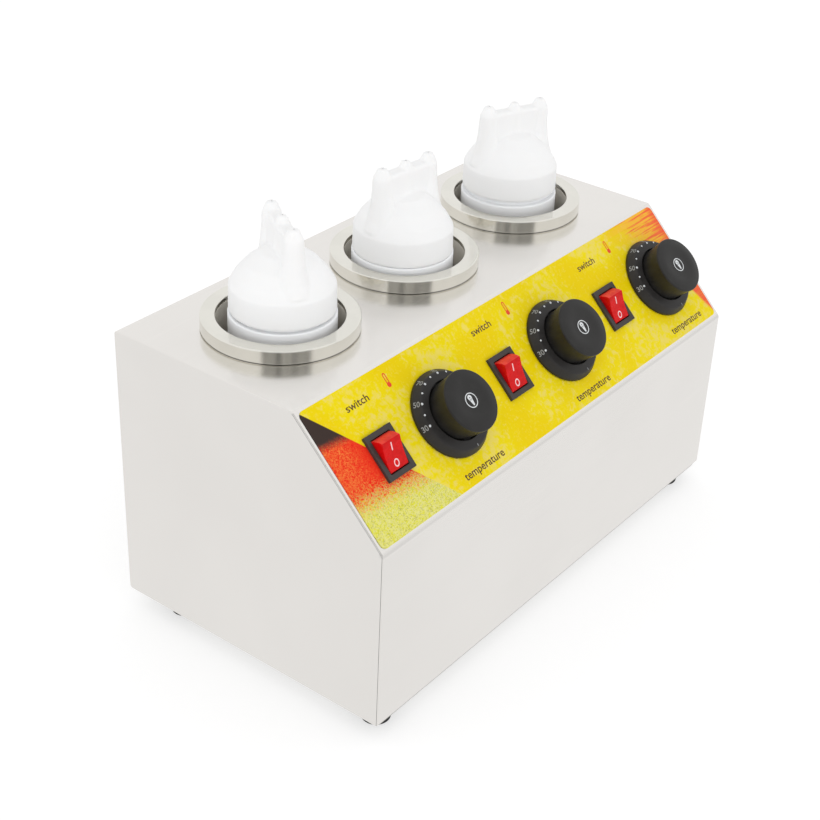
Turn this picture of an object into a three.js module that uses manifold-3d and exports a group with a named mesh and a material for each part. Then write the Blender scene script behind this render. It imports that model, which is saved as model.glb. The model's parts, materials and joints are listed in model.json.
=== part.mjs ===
// Countertop warmer for three squeeze bottles of hot fudge.
// Millimetres, +Z up, the controls face -Y, the origin is under the middle of the whole part.
import * as THREE from 'three';
import { mergeVertices } from 'three/addons/utils/BufferGeometryUtils.js';
import Module from 'manifold-3d';

const wasm = await Module();
wasm.setup();

// Stations along the casing
const stationNames = [ 'left', 'centre', 'right' ];

// Casing sheet metal
const caseLength = 400;
const caseDepth = 218;
const caseHeight = 200;
const slopeRun = 70;
const slopeRise = 70;
const sheet = 1;
const foldRadius = 2.2;
const endFold = 1.3;
const returnWidth = 14;
const seamInset = 1.7;
const seamWidth = 0.5;
const seamDepth = 0.4;

// Clearances
const seatGap = 0.3;
const fitGap = 0.3;
const overrun = 1;

// Feet and base
const footHeight = 12;
const footTopRadius = 11;
const footBottomRadius = 9.6;
const footEdge = 1;
const footBoreRadius = 2.3;
const footPocketRadius = 5.2;
const footPocketDepth = 5;
const footSideInset = 20;
const footFrontInset = 17;
const footRearInset = 33;
const baseInset = 1.5;
const baseScrewInset = 7;
const baseScrewSpread = 60;
const baseVentLength = 44;
const baseVentWidth = 4;
const baseVentPitch = 18;
const baseVentCount = 2;

// Rear panel
const rearPanelInset = 5;
const rearScrewInset = 7;
const rearVentLength = 60;
const rearVentWidth = 4;
const rearVentPitch = 13;
const rearVentCount = 3;
const rearVentTop = 45;
const panelCorner = 3;

// Fasteners
const screwShankRadius = 1.8;
const screwHeadRadius = 3.5;
const screwHeadHeight = 2.2;
const screwCrown = 0.6;
const panelScrewLength = 7;
const footScrewLength = 12;

// Wells
const wellFromRear = 73;
const ringOuterRadius = 51;
const ringHeight = 9.2;
const ringEdge = 0.7;
const ringFootStep = 0.9;
const ringLip = 3;
const wellRadius = 41.2;
const wellWall = 1;
const wellFloorHeight = 43;
const wellFloorFillet = 6;
const ringGapShare = 0.25532;

// Heater bands and sensors
const heaterThickness = 2.6;
const heaterHeight = 74;
const heaterRise = 12;
const heaterGapAngle = 26;
const heaterEarReach = 9;
const heaterEarThickness = 2;
const bulbRadius = 3;
const bulbLength = 62;
const capillaryRadius = 1;
const capillarySteps = 10;

// Bottles
const bottleRadius = 34.7;
const bottleWall = 1.6;
const bottleBodyHeight = 168.7;
const bottleHeelRadius = 5;
const bottlePunt = 1.6;
const bottleShoulderRadius = 1.8;
const neckHeight = 15;
const neckWall = 2;

// Lids with three spouts in a row
const lidRadius = 34.2;
const lidWall = 2;
const skirtHeight = 17;
const skirtDraft = 0.3;
const domeHeight = 43;
const spoutHeight = 62.6;
const spoutPitch = 21.5;
const spoutFootRadius = 7.2;
const spoutRadius = 6.3;
const spoutTipRadius = 3;
const spoutTaper = 6.5;
const middleSpoutShare = 0.86;
const spoutBoreRadius = 1.5;
const webThickness = 10;
const webDrop = 5.5;

// Where each bottle stands loosely in its well, how far it is turned and how far its lid is screwed down
const bottleStands = {
	left: { x: 0.9, y: - 0.9, turn: 60, lidRise: 1.6 },
	centre: { x: - 3.6, y: - 1, turn: - 6.5, lidRise: 0 },
	right: { x: 2, y: 3.2, turn: - 22.6, lidRise: 3.2 },
};

// Control panel, measured down the slope from its upper fold
const controlLine = 50;
const labelTopMargin = 2;
const labelBottomMargin = 3.2;
const labelSideMargin = 2.5;
const labelThickness = 0.25;
const labelGap = 0.1;
const labelCorner = 4;

// Rocker switches
const switchShare = 0.2222;
const bezelLength = 30.4;
const bezelWidth = 24.6;
const bezelHeight = 2.1;
const bezelCorner = 0.4;
const bezelBar = 3.5;
const housingStep = 1.2;
const housingDepth = 19;
const housingFloor = 3;
const rockerTilt = 21;
const rockerPivotDrop = 1.1;
const rockerCrownAngle = 36;
const rockerSkirtAngle = 16;
const rockerValley = 5.9;
const rockerBelly = 5.2;
const pivotPinRadius = 1.2;
const pivotPinReach = 1;
const bladeLength = 8;
const bladeWidth = 6.3;
const bladeThickness = 0.8;

// Thermostats and knobs
const knobShare = 0.25;
const thermostatWidth = 38;
const thermostatHeight = 32;
const thermostatDepth = 22;
const thermostatCorner = 3;
const bushRadius = 4.6;
const bushLift = 2.4;
const shaftRadius = 3;
const shaftFlat = 1.9;
const shaftSocket = 9;
const shaftLift = 17;
const dialRadius = 29.5;
const dialThickness = 8.2;
const dialEdge = 0.5;
const dialFootStep = 0.6;
const dialWallHeight = 2.3;
const dialShoulderRadius = 26.2;
const dialCrown = 0.7;
const dialRecess = 5;
const dialGap = 3.5;
const gripLift = 0.6;
const gripBaseRadius = 18.4;
const gripTopRadius = 20.8;
const knobTop = 24.4;
const gripEdge = 2.4;
const knobCrown = 0.7;
const knobWall = 2.4;
const knobBossRadius = 6;
const pointerWidth = 1.2;
const pointerReach = 0.7;
const offAngle = 178.5;

// Cord gland and terminal block
const glandFromEnd = 52;
const glandFromBottom = 32;
const glandReach = 14;
const glandFlangeRadius = 11;
const glandFlangeHeight = 4.5;
const glandCapRadius = 8.8;
const glandCapTip = 6.8;
const glandCapEdge = 3;
const glandBoreRadius = 4.2;
const glandBarrelRadius = 7.4;
const glandBarrelLength = 11;
const locknutRadius = 11;
const locknutHeight = 4;
const blockLength = 34;
const blockWidth = 20;
const blockHeight = 15;
const blockWays = 3;
const blockWellRadius = 2.6;
const blockWellDepth = 6;

// Round shapes: sides per turn
const ringSides = 32;
const cupSides = 20;
const bottleSides = 20;
const lidSides = 20;
const spoutSides = 8;
const knobSides = 24;
const bushSides = 8;
const smallSides = 6;
const footSides = 12;
const arcSteps = 3;

// Derived places
const lengthBesideRings = caseLength - stationNames.length * 2 * ringOuterRadius;
const stationPitch = 2 * ringOuterRadius + ringGapShare * lengthBesideRings;
const switchOffset = - switchShare * stationPitch;
const knobOffset = knobShare * stationPitch;
const caseBottom = footHeight + sheet + seatGap;
const caseTop = caseBottom + caseHeight;
const rearPanelBack = caseDepth / 2 + seatGap + sheet;
const rearReach = seatGap + sheet + seatGap + glandReach;
const caseCentreY = - rearReach / 2;
const slopeAngle = Math.atan2( slopeRise, slopeRun );
const slopeLength = Math.hypot( slopeRun, slopeRise );
const slopeTopY = - caseDepth / 2 + slopeRun;
const wellY = caseDepth / 2 - wellFromRear;
const cupOuterRadius = wellRadius + wellWall;
const ringSeat = caseHeight + seatGap;
const neckRadius = lidRadius - lidWall - skirtDraft - fitGap;
const cupRim = ringSeat + ringHeight - ringLip - seatGap;
const heaterInnerRadius = clearOf( cupOuterRadius, cupSides ) + fitGap;
const heaterOuterRadius = heaterInnerRadius + heaterThickness;
const labelTop = labelGap + labelThickness;
const bezelSeat = labelTop + labelGap;
const wellLipRadius = clearOf( cupOuterRadius, ringSides ) + fitGap;

// Materials
const steel = new THREE.MeshStandardMaterial( { color: 0xdcdad4, roughness: 0.32, metalness: 1 } );
const polished = new THREE.MeshStandardMaterial( { color: 0xe4e2dc, roughness: 0.12, metalness: 1 } );
const cupSteel = new THREE.MeshStandardMaterial( { color: 0xa8a39c, roughness: 0.4, metalness: 1 } );
const zinc = new THREE.MeshStandardMaterial( { color: 0xb9b8b2, roughness: 0.45, metalness: 1 } );
const brass = new THREE.MeshStandardMaterial( { color: 0xc9a45a, roughness: 0.35, metalness: 1 } );
const rubber = new THREE.MeshStandardMaterial( { color: 0x161616, roughness: 0.8, metalness: 0 } );
const blackPlastic = new THREE.MeshStandardMaterial( { color: 0x3a3a39, roughness: 0.5, metalness: 0 } );
const greyPlastic = new THREE.MeshStandardMaterial( { color: 0x4a4644, roughness: 0.5, metalness: 0 } );
const redPlastic = new THREE.MeshStandardMaterial( { color: 0xd81a1c, roughness: 0.3, metalness: 0 } );
const bottlePlastic = new THREE.MeshStandardMaterial( { color: 0xd9dcde, roughness: 0.45, metalness: 0 } );
const lidPlastic = new THREE.MeshStandardMaterial( { color: 0xf1f1f1, roughness: 0.45, metalness: 0 } );
const labelPrint = new THREE.MeshStandardMaterial( { color: 0xecd90e, roughness: 0.4, metalness: 0 } );
const mica = new THREE.MeshStandardMaterial( { color: 0x8f8878, roughness: 0.7, metalness: 0.3 } );
const ceramic = new THREE.MeshStandardMaterial( { color: 0xe9e4d6, roughness: 0.6, metalness: 0 } );

// Drops what a solid doesn't need, merges shared points and turns the faces outwards
function closed( geometry ) {

	const bare = geometry.clone();
	bare.deleteAttribute( 'normal' );
	bare.deleteAttribute( 'uv' );
	const merged = mergeVertices( bare );
	const p = merged.attributes.position;
	const index = merged.index;
	const a = new THREE.Vector3();
	const b = new THREE.Vector3();
	const c = new THREE.Vector3();
	const kept = [];
	let volume = 0;
	for ( let i = 0; i < index.count; i += 3 ) {

		const corners = [ index.getX( i ), index.getX( i + 1 ), index.getX( i + 2 ) ];
		if ( new Set( corners ).size < corners.length ) continue;
		kept.push( corners );
		a.fromBufferAttribute( p, corners[ 0 ] );
		b.fromBufferAttribute( p, corners[ 1 ] );
		c.fromBufferAttribute( p, corners[ 2 ] );
		volume += a.dot( b.cross( c ) );

	}

	if ( volume < 0 ) kept.forEach( ( corners ) => corners.reverse() );
	merged.setIndex( kept.flat() );
	return merged;

}

function toSolid( geometry ) {

	const shell = closed( geometry );
	return new wasm.Manifold( new wasm.Mesh( {
		numProp: 3,
		vertProperties: new Float32Array( shell.attributes.position.array ),
		triVerts: new Uint32Array( shell.index.array ),
	} ) );

}

function toGeometry( solid ) {

	const mesh = solid.getMesh();
	const geometry = new THREE.BufferGeometry();
	geometry.setAttribute( 'position', new THREE.BufferAttribute( mesh.vertProperties, 3 ) );
	geometry.setIndex( new THREE.BufferAttribute( mesh.triVerts, 1 ) );
	return geometry;

}

function cut( body, ...tools ) {

	let solid = toSolid( body );
	for ( const tool of tools ) solid = solid.subtract( toSolid( tool ) );
	return toGeometry( solid );

}

function join( ...bodies ) {

	const [ first, ...others ] = bodies.map( toSolid );
	return toGeometry( others.reduce( ( whole, body ) => whole.add( body ), first ) );

}

function addPiece( group, name, geometry, material ) {

	const shell = closed( geometry );
	shell.computeVertexNormals();
	const mesh = new THREE.Mesh( shell, material );
	mesh.name = name;
	group.add( mesh );
	return mesh;

}

// Profile points are [ radius, height ] pairs turned round the Z axis
function turned( points, sides ) {

	const profile = points.map( ( [ radius, height ] ) => new THREE.Vector2( radius, height ) );
	return new THREE.LatheGeometry( profile, sides ).rotateX( Math.PI / 2 );

}

function turnedRing( points, sides ) {

	return turned( [ ...points, points[ 0 ] ], sides );

}

// The corner radius of a polygon whose flats lie at the given radius
function clearOf( radius, sides ) {

	return radius / Math.cos( Math.PI / sides );

}

function rod( radius, bottom, top, sides ) {

	return turned( [ [ 0, bottom ], [ radius, bottom ], [ radius, top ], [ 0, top ] ], sides );

}

function block( sizeX, sizeY, bottom, top ) {

	return new THREE.BoxGeometry( sizeX, sizeY, top - bottom ).translate( 0, 0, ( top + bottom ) / 2 );

}

function roundedRectangle( width, height, corner, path = new THREE.Shape() ) {

	const x = width / 2;
	const y = height / 2;
	path.moveTo( x - corner, - y );
	path.absarc( x - corner, - y + corner, corner, - Math.PI / 2, 0 );
	path.absarc( x - corner, y - corner, corner, 0, Math.PI / 2 );
	path.absarc( - x + corner, y - corner, corner, Math.PI / 2, Math.PI );
	path.absarc( - x + corner, - y + corner, corner, Math.PI, 1.5 * Math.PI );
	path.closePath();
	return path;

}

function movedPath( path, x, y, steps = arcSteps ) {

	const points = path.getPoints( steps ).map( ( point ) => new THREE.Vector2( point.x + x, point.y + y ) );
	return new THREE.Path( points );

}

function plate( shape, bottom, top, steps = arcSteps ) {

	const settings = { depth: top - bottom, bevelEnabled: false, curveSegments: steps };
	return new THREE.ExtrudeGeometry( shape, settings ).translate( 0, 0, bottom );

}

// A round hole as a polygon whose flats clear the radius
function roundHole( radius, sides, x, y ) {

	const reach = clearOf( radius, sides );
	const points = [];
	for ( let i = 0; i < sides; i ++ ) {

		const angle = 2 * Math.PI * i / sides;
		points.push( new THREE.Vector2( x + reach * Math.cos( angle ), y + reach * Math.sin( angle ) ) );

	}

	return new THREE.Path( points );

}

// Moves every side of a convex outline inwards by one distance
function inset( points, distance ) {

	return points.map( ( point, i ) => {

		const before = points[ ( i + points.length - 1 ) % points.length ];
		const after = points[ ( i + 1 ) % points.length ];
		const u = point.clone().sub( before ).normalize();
		const v = after.clone().sub( point ).normalize();
		const reach = distance / ( 1 + u.dot( v ) );
		return new THREE.Vector2( point.x - ( u.y + v.y ) * reach, point.y + ( u.x + v.x ) * reach );

	} );

}

function foldedOutline( points, radius ) {

	const shape = new THREE.Shape();
	points.forEach( ( point, i ) => {

		const before = points[ ( i + points.length - 1 ) % points.length ];
		const after = points[ ( i + 1 ) % points.length ];
		const start = point.clone().add( before.clone().sub( point ).setLength( radius ) );
		const end = point.clone().add( after.clone().sub( point ).setLength( radius ) );
		if ( i === 0 ) shape.moveTo( start.x, start.y );
		else shape.lineTo( start.x, start.y );
		shape.quadraticCurveTo( point.x, point.y, end.x, end.y );

	} );
	shape.closePath();
	return shape;

}

// Outline in the Y-Z plane, pushed along X
function alongX( shape, from, to, bevel = 0 ) {

	const settings = {
		depth: to - from - 2 * bevel,
		bevelEnabled: bevel > 0,
		bevelThickness: bevel,
		bevelSize: bevel,
		bevelOffset: - bevel,
		bevelSegments: arcSteps,
		curveSegments: arcSteps,
	};
	const turn = new THREE.Matrix4().makeBasis(
		new THREE.Vector3( 0, 1, 0 ), new THREE.Vector3( 0, 0, 1 ), new THREE.Vector3( 1, 0, 0 ),
	);
	return new THREE.ExtrudeGeometry( shape, settings ).applyMatrix4( turn ).translate( from + bevel, 0, 0 );

}

function sideOutline() {

	const front = - caseDepth / 2;
	return [
		new THREE.Vector2( front, 0 ),
		new THREE.Vector2( - front, 0 ),
		new THREE.Vector2( - front, caseHeight ),
		new THREE.Vector2( slopeTopY, caseHeight ),
		new THREE.Vector2( front, caseHeight - slopeRise ),
	];

}

function stationX( i ) {

	return ( i - ( stationNames.length - 1 ) / 2 ) * stationPitch;

}

// Turns a shape built on the control panel into the casing's own frame
function onSlope( geometry ) {

	return geometry.rotateX( slopeAngle ).translate(
		0,
		slopeTopY - controlLine * Math.cos( slopeAngle ),
		caseHeight - controlLine * Math.sin( slopeAngle ),
	);

}

// The seam where the folded front and slope meet the end wall
function seam( x ) {

	const outer = inset( sideOutline(), seamInset );
	const inner = inset( sideOutline(), seamInset + seamWidth );
	const [ bottom, , , top, bend ] = outer;
	const [ innerBottom, , , innerTop, innerBend ] = inner;
	const strip = new THREE.Shape( [ bottom, innerBottom, innerBend, innerTop, top, bend ] );
	return alongX( strip, x - seamDepth, x + seamDepth );

}

const baseScrewPlaces = [ - 1, 1 ].flatMap( ( side ) => [ - 1, 1 ].map( ( face ) => ( {
	name: `base_screw_${ face < 0 ? 'front' : 'rear' }_${ side < 0 ? 'left' : 'right' }`,
	x: side * ( caseLength / 2 - baseScrewInset - baseScrewSpread ),
	y: face * ( caseDepth / 2 - baseScrewInset ),
} ) ) );

const rearScrewPlaces = [ - 1, 1 ].flatMap( ( side ) => [ - 1, 1 ].map( ( level ) => ( {
	name: `rear_screw_${ level < 0 ? 'lower' : 'upper' }_${ side < 0 ? 'left' : 'right' }`,
	x: side * ( caseLength / 2 - returnWidth / 2 - sheet ),
	z: caseHeight / 2 + level * ( caseHeight / 2 - rearScrewInset - returnWidth ),
} ) ) );

const footPlaces = [ - 1, 1 ].flatMap( ( side ) => [ - 1, 1 ].map( ( face ) => ( {
	name: `${ face < 0 ? 'front' : 'rear' }_${ side < 0 ? 'left' : 'right' }`,
	x: side * ( caseLength / 2 - footSideInset ),
	y: face * ( caseDepth / 2 - ( face < 0 ? footFrontInset : footRearInset ) ),
} ) ) );

const glandPlace = { x: caseLength / 2 - glandFromEnd, z: glandFromBottom };

function casingShell() {

	const outer = alongX( foldedOutline( sideOutline(), foldRadius ), - caseLength / 2, caseLength / 2, endFold );
	const innerShape = new THREE.Shape( inset( sideOutline(), sheet ) );
	const inner = alongX( innerShape, - caseLength / 2 + sheet, caseLength / 2 - sheet );
	const openX = caseLength - 2 * returnWidth;
	const openY = caseDepth - 2 * returnWidth;
	const openZ = caseHeight - 2 * returnWidth;
	const bottomOpening = block( openX, openY, - overrun, sheet + overrun );
	const rearOpening = block( openX, 2 * ( sheet + overrun ), returnWidth, returnWidth + openZ );
	rearOpening.translate( 0, caseDepth / 2, 0 );
	const holes = [];
	stationNames.forEach( ( name, i ) => {

		const x = stationX( i );
		const lid = [ caseHeight - sheet - overrun, caseHeight + overrun ];
		holes.push( rod( wellLipRadius, ...lid, ringSides ).translate( x, wellY, 0 ) );
		holes.push( onSlope( switchSlot( x + switchOffset ) ), onSlope( bushHole( x + knobOffset ) ) );

	} );
	const screwHole = () => rod( screwShankRadius + fitGap, - overrun - sheet, overrun + sheet, smallSides );
	for ( const { x, y } of baseScrewPlaces ) holes.push( screwHole().translate( x, y, 0 ) );
	for ( const { x, z } of rearScrewPlaces ) {

		holes.push( screwHole().rotateX( Math.PI / 2 ).translate( x, caseDepth / 2, z ) );

	}

	const seams = [ seam( - caseLength / 2 ), seam( caseLength / 2 ) ];
	return cut( outer, inner, bottomOpening, rearOpening, ...holes, ...seams );

}

// A slot with round ends
function slotPath( length, width, x, y ) {

	const radius = width / 2;
	const reach = length / 2 - radius;
	const path = new THREE.Path();
	path.absarc( reach, 0, radius, - Math.PI / 2, Math.PI / 2 );
	path.absarc( - reach, 0, radius, Math.PI / 2, 1.5 * Math.PI );
	path.closePath();
	return movedPath( path, x, y, arcSteps - 1 );

}

function basePlate() {

	const shape = roundedRectangle( caseLength - 2 * baseInset, caseDepth - 2 * baseInset, panelCorner );
	for ( const { x, y } of baseScrewPlaces ) shape.holes.push( roundHole( screwShankRadius + fitGap, smallSides, x, y ) );
	for ( const { x, y } of footPlaces ) shape.holes.push( roundHole( screwShankRadius + fitGap, smallSides, x, y ) );
	stationNames.forEach( ( name, i ) => {

		for ( let row = 0; row < baseVentCount; row ++ ) {

			const y = wellY + ( row - ( baseVentCount - 1 ) / 2 ) * baseVentPitch;
			shape.holes.push( slotPath( baseVentLength, baseVentWidth, stationX( i ), y ) );

		}

	} );
	return plate( shape, footHeight, footHeight + sheet );

}

function rearPanel() {

	const width = caseLength - 2 * rearPanelInset;
	const height = caseHeight - 2 * rearPanelInset;
	const shape = roundedRectangle( width, height, panelCorner );
	const middle = caseHeight / 2;
	for ( const { x, z } of rearScrewPlaces ) {

		shape.holes.push( roundHole( screwShankRadius + fitGap, smallSides, x, z - middle ) );

	}

	shape.holes.push( roundHole( glandBarrelRadius + fitGap, bushSides, glandPlace.x, glandPlace.z - middle ) );
	stationNames.forEach( ( name, i ) => {

		for ( let row = 0; row < rearVentCount; row ++ ) {

			const z = middle - rearVentTop - row * rearVentPitch;
			shape.holes.push( slotPath( rearVentLength, rearVentWidth, stationX( i ), z ) );

		}

	} );
	const panel = plate( shape, 0, sheet ).rotateX( Math.PI / 2 );
	return panel.translate( 0, rearPanelBack, middle );

}

function foot() {

	return turnedRing( [
		[ footBoreRadius, footHeight - seatGap ],
		[ footBoreRadius, footPocketDepth ],
		[ footPocketRadius, footPocketDepth ],
		[ footPocketRadius, 0 ],
		[ footBottomRadius - footEdge, 0 ],
		[ footBottomRadius, footEdge ],
		[ footTopRadius, footHeight - seatGap ],
	], footSides );

}

// Head under z = 0, shank upwards
function screw( length ) {

	return turned( [
		[ 0, - screwHeadHeight ],
		[ screwHeadRadius - screwCrown, - screwHeadHeight ],
		[ screwHeadRadius, 0 ],
		[ screwShankRadius, 0 ],
		[ screwShankRadius, length ],
		[ 0, length ],
	], smallSides );

}

function wellRing() {

	return turnedRing( [
		[ wellLipRadius, 0 ],
		[ ringOuterRadius - ringEdge, 0 ],
		[ ringOuterRadius, ringFootStep ],
		[ ringOuterRadius, ringHeight - ringEdge ],
		[ ringOuterRadius - ringEdge, ringHeight ],
		[ wellRadius + ringEdge, ringHeight ],
		[ wellRadius, ringHeight - ringEdge ],
		[ wellRadius, ringHeight - ringLip ],
		[ wellLipRadius, ringHeight - ringLip ],
	], ringSides );

}

function wellCup() {

	const bottom = wellFloorHeight - wellWall;
	return turned( [
		[ 0, bottom ],
		[ cupOuterRadius - wellFloorFillet, bottom ],
		[ cupOuterRadius, bottom + wellFloorFillet ],
		[ cupOuterRadius, cupRim ],
		[ wellRadius, cupRim ],
		[ wellRadius, bottom + wellFloorFillet ],
		[ wellRadius - wellFloorFillet, wellFloorHeight ],
		[ 0, wellFloorHeight ],
	], cupSides );

}

// Split band, its gap facing the controls, with two clamp ears beside the gap
function heaterBand() {

	const half = THREE.MathUtils.degToRad( heaterGapAngle / 2 );
	const start = - Math.PI / 2 + half;
	const end = 1.5 * Math.PI - half;
	const shape = new THREE.Shape();
	const at = ( radius, angle ) => new THREE.Vector2( radius * Math.cos( angle ), radius * Math.sin( angle ) );
	const away = heaterEarThickness / heaterOuterRadius;
	const ear = heaterOuterRadius + heaterEarReach;
	const points = [ at( heaterInnerRadius, start ), at( ear, start ), at( ear, start + away ) ];
	shape.setFromPoints( points );
	shape.absarc( 0, 0, heaterOuterRadius, start + away, end - away, false );
	shape.lineTo( ...at( ear, end - away ).toArray() );
	shape.lineTo( ...at( ear, end ).toArray() );
	shape.lineTo( ...at( heaterInnerRadius, end ).toArray() );
	shape.absarc( 0, 0, heaterInnerRadius, end, start, true );
	const bottom = wellFloorHeight + heaterRise;
	return plate( shape, bottom, bottom + heaterHeight, cupSides / 2 );

}

// Bulb in the band's gap and the capillary up to the thermostat
function sensorLine( bodyTail ) {

	const bulbX = 0;
	const bulbY = - cupOuterRadius - fitGap - bulbRadius;
	const bulbBottom = wellFloorHeight + heaterRise;
	const bulbTop = bulbBottom + bulbLength;
	const bulb = turned( [
		[ 0, bulbBottom - bulbRadius ],
		[ bulbRadius, bulbBottom ],
		[ bulbRadius, bulbTop ],
		[ capillaryRadius, bulbTop + bulbRadius ],
		[ 0, bulbTop + bulbRadius ],
	], smallSides ).translate( bulbX, bulbY, 0 );
	const start = new THREE.Vector3( bulbX, bulbY, bulbTop );
	const rise = new THREE.Vector3( bulbX, bulbY, bulbTop + heaterRise );
	const middle = bodyTail.clone().lerp( rise, 0.5 );
	const path = new THREE.CatmullRomCurve3( [ start, rise, middle, bodyTail ] );
	const section = new THREE.Shape().absarc( 0, 0, capillaryRadius, 0, 2 * Math.PI );
	const settings = { steps: capillarySteps, extrudePath: path, curveSegments: arcSteps };
	return join( bulb, new THREE.ExtrudeGeometry( section, settings ) );

}

function bottle() {

	const inside = bottleRadius - bottleWall;
	const ledge = bottleBodyHeight;
	const floor = bottlePunt + bottleWall;
	const neckInside = neckRadius - neckWall;
	return turned( [
		[ 0, bottlePunt ],
		[ bottleRadius - 2 * bottleHeelRadius, bottlePunt ],
		[ bottleRadius - bottleHeelRadius, 0 ],
		[ bottleRadius, bottleHeelRadius ],
		[ bottleRadius, ledge - bottleShoulderRadius ],
		[ bottleRadius - bottleShoulderRadius, ledge ],
		[ neckRadius, ledge ],
		[ neckRadius, ledge + neckHeight ],
		[ neckInside, ledge + neckHeight ],
		[ neckInside, ledge ],
		[ inside, ledge - bottleWall - bottleShoulderRadius ],
		[ inside, floor + bottleHeelRadius ],
		[ inside - bottleHeelRadius, floor ],
		[ 0, floor ],
	], bottleSides );

}

// Shares of the lid's radius and of the dome's rise over the skirt
const domeShares = [ [ 0.955, 0.11 ], [ 0.88, 0.3 ], [ 0.7, 0.59 ], [ 0.4, 0.87 ] ];

// Shares of the spout's radius and of its taper, from the taper's foot to the tip
const spoutTipShares = [ [ 0.9, 0.4 ], [ 0.7, 0.8 ] ];

function lidSpout( offset, widthShare ) {

	const foot = skirtHeight;
	const taperFoot = spoutHeight - spoutTaper;
	const tip = spoutTipShares.map( ( [ across, up ] ) => [
		across * spoutRadius * widthShare, taperFoot + up * spoutTaper,
	] );
	return turned( [
		[ 0, foot ],
		[ spoutFootRadius, foot ],
		[ spoutRadius * widthShare, taperFoot ],
		...tip,
		[ spoutTipRadius * widthShare, spoutHeight ],
		[ 0, spoutHeight ],
	], spoutSides ).translate( offset, 0, 0 );

}

function bottleLid() {

	const rise = domeHeight - skirtHeight;
	const dome = domeShares.map( ( [ across, up ] ) => [ across * lidRadius, skirtHeight + up * rise ] );
	const outer = turned( [
		[ 0, 0 ], [ lidRadius, 0 ], [ lidRadius - skirtDraft, skirtHeight ], ...dome, [ 0, domeHeight ],
	], lidSides );
	const innerDome = dome.filter( ( point, i ) => i % 2 === 1 ).map( ( [ radius, height ] ) => [
		radius - lidWall, height - lidWall,
	] );
	const hollow = turned( [
		[ 0, - overrun ],
		[ lidRadius - lidWall, - overrun ],
		[ lidRadius - lidWall - skirtDraft, skirtHeight - lidWall ],
		...innerDome,
		[ 0, domeHeight - lidWall ],
	], lidSides );
	const web = block( 2 * spoutPitch, webThickness, skirtHeight, spoutHeight - webDrop );
	const places = [ - 1, 0, 1 ].map( ( side ) => side * spoutPitch );
	const spouts = places.map( ( x ) => lidSpout( x, x === 0 ? middleSpoutShare : 1 ) );
	const bores = places.map( ( x ) => (
		rod( spoutBoreRadius, skirtHeight, spoutHeight + overrun, smallSides ).translate( x, 0, 0 )
	) );
	return cut( join( outer, web, ...spouts ), hollow, ...bores );

}

function housingWidth() {

	return bezelWidth - 2 * housingStep;

}

function housingLength() {

	return bezelLength - 2 * housingStep;

}

function windowWidth() {

	return bezelWidth - 2 * bezelBar;

}

function windowLength() {

	return bezelLength - 2 * bezelBar;

}

function switchBody() {

	const top = bezelSeat + bezelHeight;
	const bezel = plate( roundedRectangle( bezelWidth, bezelLength, bezelCorner ), bezelSeat, top );
	const housing = block( housingWidth(), housingLength(), - housingDepth, bezelSeat + bezelHeight / 2 );
	const blades = [ - 1, 1 ].map( ( side ) => (
		block( bladeWidth, bladeThickness, - housingDepth - bladeLength, - housingDepth + overrun )
			.translate( 0, side * housingLength() / 4, 0 )
	) );
	const cavity = block( windowWidth(), windowLength(), - housingDepth + housingFloor, top + overrun );
	const pinHole = rod( pivotPinRadius + fitGap, - windowWidth() / 2 - pivotPinReach - fitGap,
		windowWidth() / 2 + pivotPinReach + fitGap, smallSides );
	pinHole.rotateY( Math.PI / 2 ).translate( 0, 0, bezelSeat - rockerPivotDrop );
	return cut( join( bezel, housing, ...blades ), cavity, pinHole );

}

// Side view of the rocker about its pivot, the mark for on at +Y
function rocker() {

	const radius = windowLength() / 2 - fitGap;
	const crown = THREE.MathUtils.degToRad( rockerCrownAngle );
	const skirt = THREE.MathUtils.degToRad( rockerSkirtAngle );
	const shape = new THREE.Shape();
	shape.absarc( 0, 0, radius, - skirt, crown, false );
	shape.lineTo( 0, rockerValley );
	shape.absarc( 0, 0, radius, Math.PI - crown, Math.PI + skirt, false );
	shape.lineTo( - radius / 3, - rockerBelly );
	shape.lineTo( radius / 3, - rockerBelly );
	shape.closePath();
	const half = windowWidth() / 2 - fitGap;
	const body = alongX( shape, - half, half );
	const pin = rod( pivotPinRadius, - half - pivotPinReach, half + pivotPinReach, smallSides );
	pin.rotateY( Math.PI / 2 );
	const tilt = THREE.MathUtils.degToRad( rockerTilt );
	return join( body, pin ).rotateX( tilt ).translate( 0, 0, bezelSeat - rockerPivotDrop );

}

function flattedOutline( radius, flat ) {

	const angle = Math.acos( flat / radius );
	return new THREE.Shape().absarc( 0, 0, radius, angle, 2 * Math.PI - angle, false ).closePath();

}

function thermostatBody() {

	const front = - sheet - seatGap;
	const shape = roundedRectangle( thermostatWidth, thermostatHeight, thermostatCorner );
	const body = plate( shape, front - thermostatDepth, front );
	const bush = rod( bushRadius, front - overrun, bushLift, bushSides );
	const bore = rod( shaftRadius + fitGap, front - shaftSocket, bushLift + overrun, bushSides );
	return cut( join( body, bush ), bore );

}

function thermostatShaft() {

	const bottom = - sheet - seatGap - shaftSocket + seatGap;
	const round = rod( shaftRadius, bottom, bushLift + seatGap, bushSides );
	const flatted = plate( flattedOutline( shaftRadius, shaftFlat ), bushLift, shaftLift, arcSteps + 1 );
	return join( round, flatted );

}

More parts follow.
